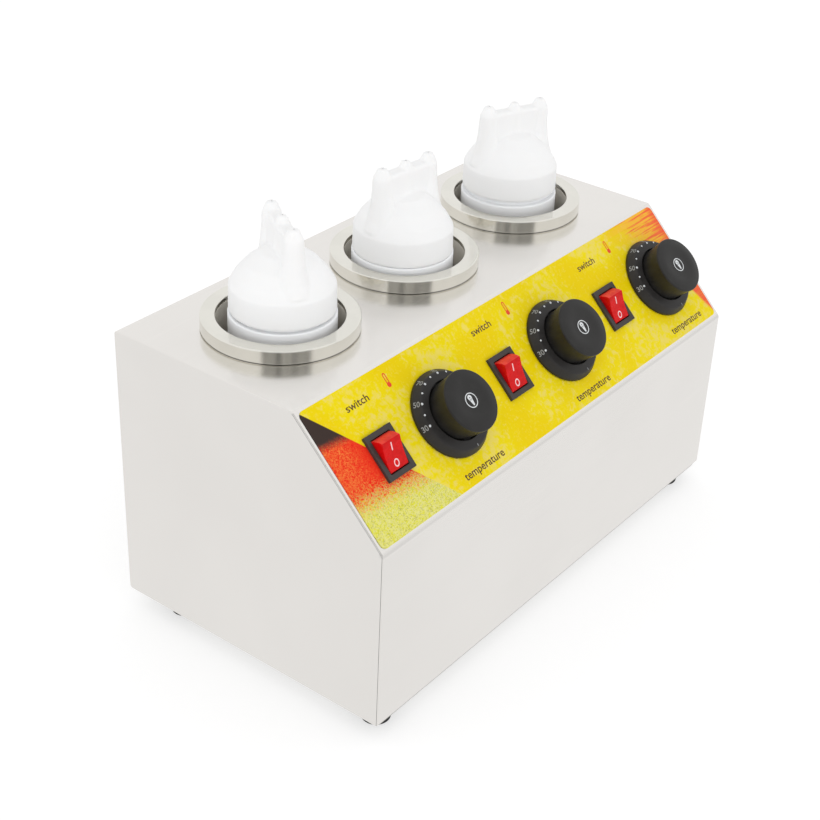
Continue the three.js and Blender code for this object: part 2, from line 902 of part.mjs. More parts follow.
// Fixed dial under the knob: a short wall, a sloped face for the scale and a deep recess where the grip runs
function dialRing() {

	const bottom = labelTop + labelGap;
	const top = bottom + dialThickness;
	const recessRadius = gripBaseRadius + dialGap;
	return turnedRing( [
		[ clearOf( bushRadius + fitGap, knobSides ), bottom ],
		[ dialRadius - dialEdge, bottom ],
		[ dialRadius, bottom + dialFootStep ],
		[ dialRadius, bottom + dialWallHeight ],
		[ dialShoulderRadius, top - dialCrown ],
		[ recessRadius, top ],
		[ recessRadius, top - dialRecess ],
		[ clearOf( bushRadius + fitGap, knobSides ), top - dialRecess ],
	], knobSides );

}

// Grip with a moulded pointer on its side, at rest on the dial's off mark
function knob() {

	const bottom = labelTop + labelGap + dialThickness - dialRecess + gripLift;
	const ceiling = knobTop - knobWall;
	const body = turned( [
		[ 0, bottom ],
		[ knobBossRadius, bottom ],
		[ knobBossRadius, ceiling ],
		[ gripBaseRadius - knobWall, ceiling ],
		[ gripBaseRadius - knobWall, bottom ],
		[ gripBaseRadius, bottom ],
		[ gripTopRadius, knobTop - gripEdge ],
		[ gripTopRadius - ( 1 - Math.SQRT1_2 ) * gripEdge, knobTop - ( 1 - Math.SQRT1_2 ) * gripEdge ],
		[ gripTopRadius - gripEdge, knobTop ],
		[ 0, knobTop + knobCrown ],
	], knobSides );
	const pointer = block( pointerWidth, gripTopRadius + pointerReach, ceiling - gripEdge, knobTop - gripEdge );
	pointer.translate( 0, ( gripTopRadius + pointerReach ) / 2, 0 );
	pointer.rotateZ( - THREE.MathUtils.degToRad( offAngle ) );
	const socket = flattedOutline( shaftRadius + fitGap, shaftFlat + fitGap );
	return cut( join( body, pointer ), plate( socket, bottom - overrun, shaftLift + seatGap, arcSteps + 1 ) );

}

// Cutter for a switch housing that passes through a sheet on the slope
function switchSlot( x ) {

	const width = housingWidth() + 2 * fitGap;
	const length = housingLength() + 2 * fitGap;
	return block( width, length, - sheet - overrun, labelTop + overrun ).translate( x, 0, 0 );

}

function bushHole( x ) {

	const radius = clearOf( bushRadius + fitGap, bushSides );
	return rod( radius, - sheet - overrun, labelTop + overrun, bushSides ).translate( x, 0, 0 );

}

function labelFilm() {

	const height = slopeLength - labelTopMargin - labelBottomMargin;
	const shape = roundedRectangle( caseLength - 2 * labelSideMargin, height, labelCorner );
	const middle = labelTopMargin + height / 2;
	const film = plate( shape, labelGap, labelTop ).translate( 0, controlLine - middle, 0 );
	const holes = stationNames.flatMap( ( name, i ) => [
		switchSlot( stationX( i ) + switchOffset ), bushHole( stationX( i ) + knobOffset ),
	] );
	return cut( film, ...holes );

}

// Turned about -Z here, then laid along +Y out of the rear panel
function cordGland() {

	const seat = seatGap;
	const flange = rod( glandFlangeRadius, seat, seat + glandFlangeHeight, 6 );
	const body = turned( [
		[ 0, - glandBarrelLength ],
		[ glandBarrelRadius, - glandBarrelLength ],
		[ glandBarrelRadius, seat + overrun ],
		[ glandCapRadius, seat + overrun ],
		[ glandCapRadius, seat + glandReach - glandCapEdge ],
		[ glandCapTip, seat + glandReach ],
		[ 0, seat + glandReach ],
	], bushSides );
	const bore = rod( glandBoreRadius, - glandBarrelLength - overrun, seat + glandReach + overrun, bushSides );
	return cut( join( flange, body ), bore ).rotateX( - Math.PI / 2 );

}

function glandLocknut() {

	const nut = rod( locknutRadius, - locknutHeight, 0, 6 );
	const bore = rod( glandBarrelRadius + fitGap, - locknutHeight - overrun, overrun, bushSides );
	return cut( nut, bore ).rotateX( - Math.PI / 2 );

}

function terminalBlock() {

	const body = plate( roundedRectangle( blockLength, blockWidth, overrun ), seatGap, blockHeight );
	const pitch = blockLength / blockWays;
	const wells = [];
	for ( let way = 0; way < blockWays; way ++ ) {

		const x = ( way - ( blockWays - 1 ) / 2 ) * pitch;
		const bottom = blockHeight - blockWellDepth;
		wells.push( rod( blockWellRadius, bottom, blockHeight + overrun, smallSides ).translate( x, 0, 0 ) );

	}

	return cut( body, ...wells );

}

function addBase( part ) {

	const base = new THREE.Group();
	base.position.y = caseCentreY;
	part.add( base );
	addPiece( base, 'base_plate', basePlate(), zinc );
	for ( const { name, x, y } of footPlaces ) {

		addPiece( base, `foot_${ name }`, foot(), rubber ).position.set( x, y, 0 );
		addPiece( base, `foot_screw_${ name }`, screw( footScrewLength ), zinc )
			.position.set( x, y, footPocketDepth - seatGap );

	}

	for ( const { name, x, y } of baseScrewPlaces ) {

		addPiece( base, name, screw( panelScrewLength ), zinc ).position.set( x, y, footHeight - seatGap );

	}

}

function addCasing( part ) {

	const casing = new THREE.Group();
	casing.position.set( 0, caseCentreY, caseBottom );
	part.add( casing );
	addPiece( casing, 'casing_shell', casingShell(), steel );
	addPiece( casing, 'rear_panel', rearPanel(), steel );
	for ( const { name, x, z } of rearScrewPlaces ) {

		const piece = addPiece( casing, name, screw( panelScrewLength ).rotateX( Math.PI / 2 ), zinc );
		piece.position.set( x, rearPanelBack + seatGap, z );

	}

	addPiece( casing, 'cord_gland', cordGland(), blackPlastic ).position.set( glandPlace.x, rearPanelBack, glandPlace.z );
	const nut = addPiece( casing, 'gland_locknut', glandLocknut(), blackPlastic );
	nut.position.set( glandPlace.x, rearPanelBack - sheet - seatGap, glandPlace.z );
	const terminals = addPiece( casing, 'terminal_block', terminalBlock(), ceramic );
	terminals.position.set( glandPlace.x - blockLength, caseDepth / 4, - seatGap );
	return casing;

}

function addWell( casing, name, i ) {

	const well = new THREE.Group();
	well.position.set( stationX( i ), wellY, 0 );
	casing.add( well );
	addPiece( well, `well_ring_${ name }`, wellRing(), polished ).position.z = ringSeat;
	addPiece( well, `well_cup_${ name }`, wellCup(), cupSteel );
	addPiece( well, `heater_band_${ name }`, heaterBand(), mica );
	const depth = sheet + seatGap + thermostatDepth + seatGap + capillaryRadius;
	const tail = new THREE.Vector3( 0, 0, - depth ).applyAxisAngle( new THREE.Vector3( 1, 0, 0 ), slopeAngle );
	tail.x += knobOffset;
	tail.y += slopeTopY - controlLine * Math.cos( slopeAngle ) - wellY;
	tail.z += caseHeight - controlLine * Math.sin( slopeAngle );
	addPiece( well, `sensor_line_${ name }`, sensorLine( tail ), brass );
	const stand = bottleStands[ name ];
	const set = new THREE.Group();
	set.position.set( stand.x, stand.y, wellFloorHeight + seatGap );
	set.rotation.z = THREE.MathUtils.degToRad( stand.turn );
	well.add( set );
	addPiece( set, `bottle_${ name }`, bottle(), bottlePlastic );
	addPiece( set, `bottle_lid_${ name }`, bottleLid(), lidPlastic )
		.position.z = bottleBodyHeight + seatGap + stand.lidRise;

}

function addControls( casing, name, i ) {

	const controls = new THREE.Group();
	controls.position.set(
		stationX( i ),
		slopeTopY - controlLine * Math.cos( slopeAngle ),
		caseHeight - controlLine * Math.sin( slopeAngle ),
	);
	controls.rotation.x = slopeAngle;
	casing.add( controls );
	addPiece( controls, `switch_body_${ name }`, switchBody(), greyPlastic ).position.x = switchOffset;
	addPiece( controls, `switch_rocker_${ name }`, rocker(), redPlastic ).position.x = switchOffset;
	addPiece( controls, `thermostat_body_${ name }`, thermostatBody(), ceramic ).position.x = knobOffset;
	addPiece( controls, `thermostat_shaft_${ name }`, thermostatShaft(), zinc ).position.x = knobOffset;
	addPiece( controls, `dial_ring_${ name }`, dialRing(), blackPlastic ).position.x = knobOffset;
	addPiece( controls, `knob_${ name }`, knob(), blackPlastic ).position.x = knobOffset;

}

function addLabel( casing ) {

	const label = addPiece( casing, 'panel_label', labelFilm(), labelPrint );
	label.position.set(
		0,
		slopeTopY - controlLine * Math.cos( slopeAngle ),
		caseHeight - controlLine * Math.sin( slopeAngle ),
	);
	label.rotation.x = slopeAngle;

}

const part = new THREE.Group();
addBase( part );
const casing = addCasing( part );
addLabel( casing );
stationNames.forEach( ( name, i ) => {

	addWell( casing, name, i );
	addControls( casing, name, i );

} );

export default part;
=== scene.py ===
"""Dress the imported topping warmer: casing, printed panel, switches, knobs, wells and squeeze bottles."""

import json
import logging
import math
from dataclasses import dataclass
from enum import Enum
from typing import Iterable, Sequence

import bmesh
import bpy
from mathutils import Matrix, Vector

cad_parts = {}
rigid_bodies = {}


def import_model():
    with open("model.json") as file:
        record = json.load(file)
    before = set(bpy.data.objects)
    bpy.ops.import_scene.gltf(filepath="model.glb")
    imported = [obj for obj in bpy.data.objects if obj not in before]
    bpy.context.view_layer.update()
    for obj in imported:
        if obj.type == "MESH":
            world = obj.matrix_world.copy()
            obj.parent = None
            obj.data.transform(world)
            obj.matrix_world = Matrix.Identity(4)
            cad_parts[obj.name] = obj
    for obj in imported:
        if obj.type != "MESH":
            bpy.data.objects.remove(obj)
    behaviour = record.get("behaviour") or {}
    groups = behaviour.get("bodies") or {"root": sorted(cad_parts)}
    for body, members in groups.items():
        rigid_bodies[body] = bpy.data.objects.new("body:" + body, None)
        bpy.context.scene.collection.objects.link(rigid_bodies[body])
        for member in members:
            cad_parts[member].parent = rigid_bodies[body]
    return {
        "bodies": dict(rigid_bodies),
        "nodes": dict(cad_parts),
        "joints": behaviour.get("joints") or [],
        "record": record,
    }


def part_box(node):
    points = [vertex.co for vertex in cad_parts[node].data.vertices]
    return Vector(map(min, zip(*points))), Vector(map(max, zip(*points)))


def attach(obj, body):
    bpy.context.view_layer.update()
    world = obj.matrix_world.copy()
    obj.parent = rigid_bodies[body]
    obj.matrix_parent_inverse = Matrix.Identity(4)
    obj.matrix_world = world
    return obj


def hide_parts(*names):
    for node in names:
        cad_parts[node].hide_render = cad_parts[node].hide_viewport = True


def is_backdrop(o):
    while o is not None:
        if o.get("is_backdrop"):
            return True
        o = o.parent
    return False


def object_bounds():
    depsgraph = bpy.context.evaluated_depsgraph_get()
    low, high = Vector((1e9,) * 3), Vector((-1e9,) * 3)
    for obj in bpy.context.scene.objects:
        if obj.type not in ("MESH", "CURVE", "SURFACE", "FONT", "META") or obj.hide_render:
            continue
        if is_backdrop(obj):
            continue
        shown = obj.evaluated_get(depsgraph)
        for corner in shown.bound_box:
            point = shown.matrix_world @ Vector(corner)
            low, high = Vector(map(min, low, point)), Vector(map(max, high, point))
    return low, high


log = logging.getLogger("topping_warmer")

MM = 0.001
STATIONS = ("left", "centre", "right")
CASE = "case"
SMOOTH_ANGLE = math.radians(32)
NOISE_LOW, NOISE_HIGH = 0.3, 0.7
PLASTIC_IOR = 1.5
ON_AXIS = 1e-6
SQUARE = ((-1, -1), (1, -1), (1, 1), (-1, 1))
SIDEWAYS = Matrix(((0, 0, 1, 0), (1, 0, 0, 0), (0, 1, 0, 0), (0, 0, 0, 1)))
Colour = tuple[float, float, float]
Profile = list[tuple[float, float]]
Piece = bpy.types.Object
Socket = bpy.types.NodeSocket


def srgb(red: float, green: float, blue: float) -> Colour:
    """Turn a colour of 0 to 255 per channel into the linear values that shaders take.

    Args:
        red: Red as a picture shows it.
        green: Green as a picture shows it.
        blue: Blue as a picture shows it.

    Returns:
        The linear colour.
    """
    def channel(value: float) -> float:
        """Return one channel in linear light."""
        v = value / 255
        return v / 12.92 if v <= 0.04045 else ((v + 0.055) / 1.055) ** 2.4
    return channel(red), channel(green), channel(blue)


def in_metres(place: Matrix) -> Matrix:
    """Turn a place in millimetres into one in metres.

    Args:
        place: The place in millimetres.

    Returns:
        The place in metres.
    """
    spot = place.copy()
    spot.translation = spot.translation * MM
    return spot


class NodeBench:
    """A short hand for building one material's node tree."""

    def __init__(self, name: str) -> None:
        """Start a material with a Principled shader.

        Args:
            name: The material's name.
        """
        self.material = bpy.data.materials.new(name)
        self.material.use_nodes = True
        self.tree = self.material.node_tree
        self.tree.nodes.clear()
        output = self.tree.nodes.new("ShaderNodeOutputMaterial")
        self.shader = self.tree.nodes.new("ShaderNodeBsdfPrincipled")
        self.link(self.shader.outputs[0], output.inputs["Surface"])
        self.coords = self.tree.nodes.new("ShaderNodeTexCoord").outputs["Object"]

    def link(self, source: Socket, target: Socket) -> None:
        """Join two sockets."""
        self.tree.links.new(source, target)

    def set(self, **values: object) -> None:
        """Set the shader's own sockets.

        Args:
            values: Socket names, with an underscore for each space, and their values.
        """
        for name, value in values.items():
            socket = self.shader.inputs[name.replace("_", " ")]
            socket.default_value = (*value, 1.0) if socket.type == "RGBA" else value

    def feed(self, name: str, source: Socket) -> None:
        """Drive one of the shader's sockets from a node."""
        self.link(source, self.shader.inputs[name])

    def mapped(self, scale: Sequence[float]) -> Socket:
        """Return the piece's own coordinates, scaled.

        Args:
            scale: Scale along each axis.

        Returns:
            The mapped coordinates.
        """
        node = self.tree.nodes.new("ShaderNodeMapping")
        node.inputs["Scale"].default_value = scale
        self.link(self.coords, node.inputs["Vector"])
        return node.outputs[0]

    def place(self) -> tuple[Socket, ...]:
        """Return the piece's own X, Y and Z.

        Returns:
            The three lengths in metres.
        """
        node = self.tree.nodes.new("ShaderNodeSeparateXYZ")
        self.link(self.coords, node.inputs[0])
        return tuple(node.outputs)

    def noise(self, scale: float, detail: float = 2, rough: float = 0.5, distort: float = 0,
              vector: Socket | None = None) -> Socket:
        """Return a noise value.

        Args:
            scale: Spots per metre.
            detail: Octaves.
            rough: Strength of the finer octaves.
            distort: How far the noise bends itself.
            vector: Where the noise is read, by default the piece's own coordinates.

        Returns:
            The noise, from 0 to 1.
        """
        node = self.tree.nodes.new("ShaderNodeTexNoise")
        node.inputs["Scale"].default_value = scale
        node.inputs["Detail"].default_value = detail
        node.inputs["Roughness"].default_value = rough
        node.inputs["Distortion"].default_value = distort
        self.link(vector or self.coords, node.inputs["Vector"])
        return node.outputs["Fac"]

    def math(self, operation: str, first: object, second: object = 0.0, third: object = 0.0) -> Socket:
        """Return the result of one sum.

        Args:
            operation: Blender's name for the operation.
            first: First value or socket.
            second: Second value or socket.
            third: Third value or socket.

        Returns:
            The result.
        """
        node = self.tree.nodes.new("ShaderNodeMath")
        node.operation = operation
        for socket, value in zip(node.inputs, (first, second, third)):
            if isinstance(value, Socket):
                self.link(value, socket)
            else:
                socket.default_value = value
        return node.outputs[0]

    def ramp(self, value: Socket, low: float, high: float, start: float = 0.0,
             end: float = 1.0) -> Socket:
        """Return value mapped from low..high to start..end, smoothly and clamped.

        Args:
            value: What is mapped.
            low: Value at the start.
            high: Value at the end.
            start: Result at low.
            end: Result at high.

        Returns:
            The mapped value.
        """
        node = self.tree.nodes.new("ShaderNodeMapRange")
        node.interpolation_type = "SMOOTHSTEP"
        self.link(value, node.inputs["Value"])
        node.inputs["From Min"].default_value = low
        node.inputs["From Max"].default_value = high
        node.inputs["To Min"].default_value = start
        node.inputs["To Max"].default_value = end
        return node.outputs["Result"]

    def blend(self, share: object, first: object, second: object) -> Socket:
        """Return a colour between two.

        Args:
            share: 0 for the first colour, 1 for the second.
            first: First colour or socket.
            second: Second colour or socket.

        Returns:
            The mixed colour.
        """
        node = self.tree.nodes.new("ShaderNodeMix")
        node.data_type = "RGBA"
        for name, value in (("Factor", share), ("A", first), ("B", second)):
            socket = next(s for s in node.inputs if s.name == name and s.enabled)
            if isinstance(value, Socket):
                self.link(value, socket)
            elif name == "Factor":
                socket.default_value = value
            else:
                socket.default_value = (*value, 1.0)
        return next(s for s in node.outputs if s.enabled)

    def bump(self, height: Socket, strength: float, distance: float) -> None:
        """Give the shader a bumpy surface.

        Args:
            height: Height from 0 to 1.
            strength: Share of the bump that shows.
            distance: Height of the bump in metres.
        """
        node = self.tree.nodes.new("ShaderNodeBump")
        node.inputs["Strength"].default_value = strength
        node.inputs["Distance"].default_value = distance
        self.link(height, node.inputs["Height"])
        self.feed("Normal", node.outputs[0])

    def roughen(self, value: Socket, low: float, high: float) -> None:
        """Let the roughness follow a noise from low to high."""
        self.feed("Roughness", self.ramp(value, NOISE_LOW, NOISE_HIGH, low, high))


class Finish:
    """A finish that makes its material once."""

    def material(self) -> bpy.types.Material:
        """Return this finish's material, made at its first use."""
        name = f"finish_{type(self).__name__}_{abs(hash(self)) % 10 ** 8}"
        found = bpy.data.materials.get(name)
        return found if found else self.build(NodeBench(name)).material

    def build(self, bench: NodeBench) -> NodeBench:
        """Build the material's nodes.

        Args:
            bench: An empty bench.

        Returns:
            The bench with its nodes.
        """
        raise NotImplementedError


@dataclass(frozen=True)
class SheetSteel(Finish):
    """Satin stainless sheet with a fine grain along one direction, faint handling marks and, where a fold is
    given, a painted shade line along it.
    """

    colour: Colour = srgb(238, 235, 231)
    roughness: float = 0.22
    grain: tuple[float, float, float] = (14.0, 900.0, 900.0)
    marks: float = 0.03
    # Where a fold is given: its Y and Z, then the half width and strength of a painted shade line along it.
    shaded_fold: tuple[float, ...] = ()
    fold_shade_half: float = 0.0022
    fold_painted_shade: float = 0.12

    def painted_fold_shade(self, bench: NodeBench) -> Socket:
        """Return a painted shade line along the fold, whose Y and Z in metres the finish holds; it stands in
        for a darker reflection on the fold's rounding.

        Args:
            bench: The bench.

        Returns:
            The painted shade's strength, from 0 to the finish's shade strength.
        """
        _, y, z = bench.place()
        fold_y, fold_z = self.shaded_fold
        away = bench.math("ABSOLUTE", bench.math("SUBTRACT", z, fold_z))
        line = bench.ramp(away, 0.0, self.fold_shade_half, self.fold_painted_shade, 0.0)
        near = bench.ramp(y, fold_y + self.fold_shade_half, fold_y + 2 * self.fold_shade_half, 1.0, 0.0)
        return bench.math("MULTIPLY", line, near)

    def build(self, bench: NodeBench) -> NodeBench:
        """Build brushed grain in colour, roughness and bump."""
        grain = bench.noise(1.0, 3, 0.6, vector=bench.mapped(self.grain))
        cloud = bench.noise(14.0, 2, 0.5)
        darker = tuple(c * 0.96 for c in self.colour)
        tone = bench.math("ADD", bench.math("MULTIPLY", grain, 0.5), bench.math("MULTIPLY", cloud, 0.5))
        colour = bench.blend(bench.ramp(tone, NOISE_LOW, NOISE_HIGH), darker, self.colour)
        # Painted shade: a band along the fold darkens the colour towards black.
        if self.shaded_fold:
            colour = bench.blend(self.painted_fold_shade(bench), colour, (0.0, 0.0, 0.0))
        bench.feed("Base Color", colour)
        bench.roughen(tone, self.roughness - self.marks, self.roughness + self.marks)
        bench.set(Metallic=1.0)
        bench.bump(grain, 0.06, 0.00004)
        return bench


@dataclass(frozen=True)
class TurnedSteel(Finish):
    """Polished stainless ring with faint turning marks round its axis."""

    colour: Colour = srgb(232, 230, 222)
    roughness: float = 0.09
    turns: float = 900.0
    wobble: float = 1.5

    def build(self, bench: NodeBench) -> NodeBench:
        """Build concentric marks and small specks."""
        node = bench.tree.nodes.new("ShaderNodeTexWave")
        node.wave_type = "RINGS"
        node.rings_direction = "Z"
        node.inputs["Scale"].default_value = self.turns
        node.inputs["Distortion"].default_value = self.wobble
        bench.link(bench.coords, node.inputs["Vector"])
        cloud = bench.noise(60.0, 2, 0.5)
        darker = tuple(c * 0.97 for c in self.colour)
        bench.feed("Base Color", bench.blend(bench.ramp(cloud, 0.4, 0.62), self.colour, darker))
        bench.feed("Roughness", bench.ramp(cloud, 0.35, 0.7, self.roughness, self.roughness + 0.04))
        bench.set(Metallic=1.0)
        bench.bump(node.outputs["Fac"], 0.04, 0.00001)
        return bench


@dataclass(frozen=True)
class DullSteel(Finish):
    """Drawn or plated steel with clouded reflections."""

    colour: Colour = srgb(150, 143, 134)
    roughness: float = 0.42
    metal: float = 1.0
    streaks: tuple[float, float, float] = (300.0, 300.0, 40.0)

    def build(self, bench: NodeBench) -> NodeBench:
        """Build the clouded surface."""
        streaks = bench.noise(1.0, 3, 0.6, vector=bench.mapped(self.streaks))
        darker = tuple(c * 0.8 for c in self.colour)
        bench.feed("Base Color", bench.blend(streaks, darker, self.colour))
        bench.roughen(streaks, self.roughness - 0.08, self.roughness + 0.1)
        bench.set(Metallic=self.metal)
        bench.bump(streaks, 0.1, 0.00003)
        return bench


@dataclass(frozen=True)
class MilkyPlastic(Finish):
    """Soft translucent polythene."""

    colour: Colour = srgb(250, 250, 250)
    roughness: float = 0.42
    scatter: float = 0.35
    depth: float = 0.006
    gloss: float = 0.2

    def build(self, bench: NodeBench) -> NodeBench:
        """Build the scattering body and a faint moulded unevenness."""
        cloud = bench.noise(90.0, 2, 0.5)
        dimmer = tuple(c * 0.98 for c in self.colour)
        bench.feed("Base Color", bench.blend(cloud, dimmer, self.colour))
        bench.roughen(cloud, self.roughness - 0.04, self.roughness + 0.06)
        bench.set(IOR=PLASTIC_IOR, Specular_IOR_Level=self.gloss, Subsurface_Weight=self.scatter,
                  Subsurface_Scale=self.depth, Subsurface_Radius=(1.0, 0.95, 0.9))
        bench.bump(bench.noise(260.0, 2, 0.5), 0.08, 0.0001)
        return bench


@dataclass(frozen=True)
class MouldedPlastic(Finish):
    """Moulded plastic with a fine spark-eroded texture, a little paler where it is handled."""

    colour: Colour = srgb(52, 51, 50)
    roughness: float = 0.46
    gloss: float = 0.3
    texture: float = 2600.0
    strength: float = 0.25

    def build(self, bench: NodeBench) -> NodeBench:
        """Build the fine texture and soft handling marks."""
        fine = bench.noise(self.texture, 2, 0.6)
        cloud = bench.noise(120.0, 3, 0.6)
        paler = tuple(min(1.0, c * 1.25 + 0.002) for c in self.colour)
        bench.feed("Base Color", bench.blend(bench.ramp(cloud, 0.4, 0.75), self.colour, paler))
        bench.roughen(cloud, self.roughness - 0.06, self.roughness + 0.08)
        bench.set(IOR=PLASTIC_IOR, Specular_IOR_Level=self.gloss)
        bench.bump(fine, self.strength, 0.00005)
        return bench


@dataclass(frozen=True)
class GlossPlastic(Finish):
    """Glossy moulded plastic that lets a little light into it."""

    colour: Colour = srgb(216, 14, 16)
    roughness: float = 0.25
    gloss: float = 0.14

    def build(self, bench: NodeBench) -> NodeBench:
        """Build the gloss, a slight cloud and fine dust."""
        cloud = bench.noise(160.0, 3, 0.6)
        deeper = (self.colour[0] * 0.82, self.colour[1] * 0.6, self.colour[2] * 0.6)
        bench.feed("Base Color", bench.blend(bench.ramp(cloud, 0.4, 0.7), self.colour, deeper))
        bench.roughen(cloud, self.roughness, self.roughness + 0.12)
        bench.set(IOR=PLASTIC_IOR, Specular_IOR_Level=self.gloss, Subsurface_Weight=0.1,
                  Subsurface_Scale=0.002)
        bench.bump(bench.noise(700.0, 2, 0.5), 0.05, 0.00003)
        return bench


@dataclass(frozen=True)
class Ink(Finish):
    """Printed or filled-in marks with slightly uneven cover."""

    colour: Colour = srgb(240, 240, 238)
    roughness: float = 0.5

    def build(self, bench: NodeBench) -> NodeBench:
        """Build the uneven cover."""
        cover = bench.noise(1500.0, 2, 0.6)
        thin = tuple(c * 0.86 for c in self.colour)
        bench.feed("Base Color", bench.blend(cover, thin, self.colour))
        bench.roughen(cover, self.roughness - 0.05, self.roughness + 0.08)
        bench.set(IOR=1.45)
        return bench


@dataclass(frozen=True)
class BlackRubber(Finish):
    """Matte black rubber."""

    colour: Colour = srgb(24, 24, 24)

    def build(self, bench: NodeBench) -> NodeBench:
        """Build the dusty matte surface."""
        dust = bench.noise(300.0, 3, 0.6)
        pale = tuple(c * 1.8 + 0.003 for c in self.colour)
        bench.feed("Base Color", bench.blend(bench.ramp(dust, 0.5, 0.8), self.colour, pale))
        bench.roughen(dust, 0.72, 0.9)
        bench.bump(bench.noise(1800.0, 2, 0.6), 0.2, 0.00005)
        return bench


@dataclass(frozen=True)
class PanelFilm(Finish):
    """Printed film: mottled yellow, a wedge of black, red and lime at the left and red streaks at the right.

    Lengths are in millimetres: across from the casing's middle, and down the slope from its upper fold.
    """

    fold_y: float
    fold_z: float
    slope: float
    yellow: Colour = srgb(238, 218, 2)
    straw: Colour = srgb(236, 216, 104)
    amber: Colour = srgb(235, 206, 2)
    black: Colour = srgb(62, 50, 46)
    red: Colour = srgb(234, 42, 24)
    orange: Colour = srgb(240, 128, 60)
    peach: Colour = srgb(248, 184, 62)
    coral: Colour = srgb(244, 84, 66)
    ember: Colour = srgb(196, 34, 22)
    lime: Colour = srgb(226, 222, 140)
    citron: Colour = srgb(222, 218, 62)
    moss: Colour = srgb(166, 164, 74)
    wedge_top: tuple[float, float] = (-197.0, 2.5)
    wedge_foot: tuple[float, float] = (-121.0, 95.0)
    black_foot: float = 27.0
    red_foot: float = 67.0
    band_tilt: float = 0.1
    left_edge: float = -197.5
    right_edge: float = 197.5
    patch_scale: float = 230.0
    cloud_scale: float = 20.0
    speck_scale: float = 520.0
    stroke_scale: float = 560.0
    streak_scale: tuple[float, float] = (0.016, 0.55)
    corner_foot: float = 94.0
    corner_lean: float = 0.42

    def across_and_down(self, bench: NodeBench) -> tuple[Socket, Socket]:
        """Return the place on the panel in millimetres.

        Args:
            bench: The bench.

        Returns:
            The length across and the length down the slope.
        """
        x, y, z = bench.place()
        back = bench.math("MULTIPLY", bench.math("SUBTRACT", self.fold_y, y), math.cos(self.slope))
        down = bench.math("MULTIPLY", bench.math("SUBTRACT", self.fold_z, z), math.sin(self.slope))
        length = bench.math("ADD", back, down)
        return bench.math("MULTIPLY", x, 1 / MM), bench.math("MULTIPLY", length, 1 / MM)

    def mottled(self, bench: NodeBench) -> Socket:
        """Return the clouded yellow ground.

        Args:
            bench: The bench.

        Returns:
            The colour.
        """
        patches = bench.noise(self.patch_scale, 4, 0.6, 0.4)
        wide = bench.noise(self.cloud_scale, 2, 0.5)
        fine = bench.noise(self.speck_scale, 2, 0.5, 0.5)
        ground = bench.blend(bench.ramp(wide, 0.35, 0.65), self.amber, self.yellow)
        ground = bench.blend(bench.ramp(fine, 0.54, 0.72, 0.0, 0.25), ground, self.straw)
        pale = bench.math("MULTIPLY_ADD", bench.math("SUBTRACT", wide, 0.5), 0.9, patches)
        return bench.blend(bench.ramp(pale, 0.5, 0.7, 0.0, 0.85), ground, self.straw)

    def worms(self, bench: NodeBench, scale: float, low: float, high: float) -> Socket:
        """Return short crawling strokes.

        Args:
            bench: The bench.
            scale: Strokes per metre.
            low: Where a stroke starts.
            high: Where a stroke is full.

        Returns:
            The strokes from 0 to 1.
        """
        strokes = bench.noise(scale, 3, 0.7, 2.2)
        return bench.ramp(strokes, low, high)

    def left_wedge(self, bench: NodeBench, x: Socket, s: Socket,
                   ground: Socket) -> Socket:
        """Return the ground with the black, red and lime wedge over it.

        Args:
            bench: The bench.
            x: Length across.
            s: Length down the slope.
            ground: The colour under the wedge.

        Returns:
            The colour.
        """
        (x0, s0), (x1, s1) = self.wedge_top, self.wedge_foot
        length = math.hypot(x1 - x0, s1 - s0)
        along = bench.math("MULTIPLY", bench.math("SUBTRACT", s, s0), (x1 - x0) / length)
        across = bench.math("MULTIPLY", bench.math("SUBTRACT", x, x0), (s1 - s0) / length)
        side = bench.math("SUBTRACT", along, across)
        inside = bench.ramp(side, -0.25, 0.35)
        from_edge = bench.math("SUBTRACT", x, self.left_edge)
        level = bench.math("SUBTRACT", s, bench.math("MULTIPLY", from_edge, self.band_tilt))
        ragged = bench.math("MULTIPLY_ADD", self.worms(bench, self.stroke_scale, 0.35, 0.65), 13.0, level)
        solid = bench.ramp(from_edge, 10.0, 32.0, 0.0, 0.92)
        loose = bench.math("SUBTRACT", 1.0, solid)
        fleck = bench.math("MULTIPLY", self.worms(bench, self.stroke_scale, 0.44, 0.6), loose)
        red = bench.blend(fleck, self.red, self.orange)
        red = bench.blend(bench.math("MULTIPLY", self.worms(bench, 690.0, 0.56, 0.68), 0.5), red, self.ember)
        lime = bench.blend(self.worms(bench, 430.0, 0.47, 0.57), self.lime, self.citron)
        moss = bench.math("MULTIPLY", self.worms(bench, self.stroke_scale, 0.54, 0.62), 0.8)
        lime = bench.blend(moss, lime, self.moss)
        body = bench.blend(bench.ramp(ragged, self.red_foot - 2.0, self.red_foot + 12.0), red, lime)
        shade = bench.math("MULTIPLY_ADD", bench.noise(500.0, 3, 0.7, 1.5), 6.0, level)
        body = bench.blend(bench.ramp(shade, self.black_foot - 1.0, self.black_foot + 7.0), self.black, body)
        return bench.blend(inside, ground, body)

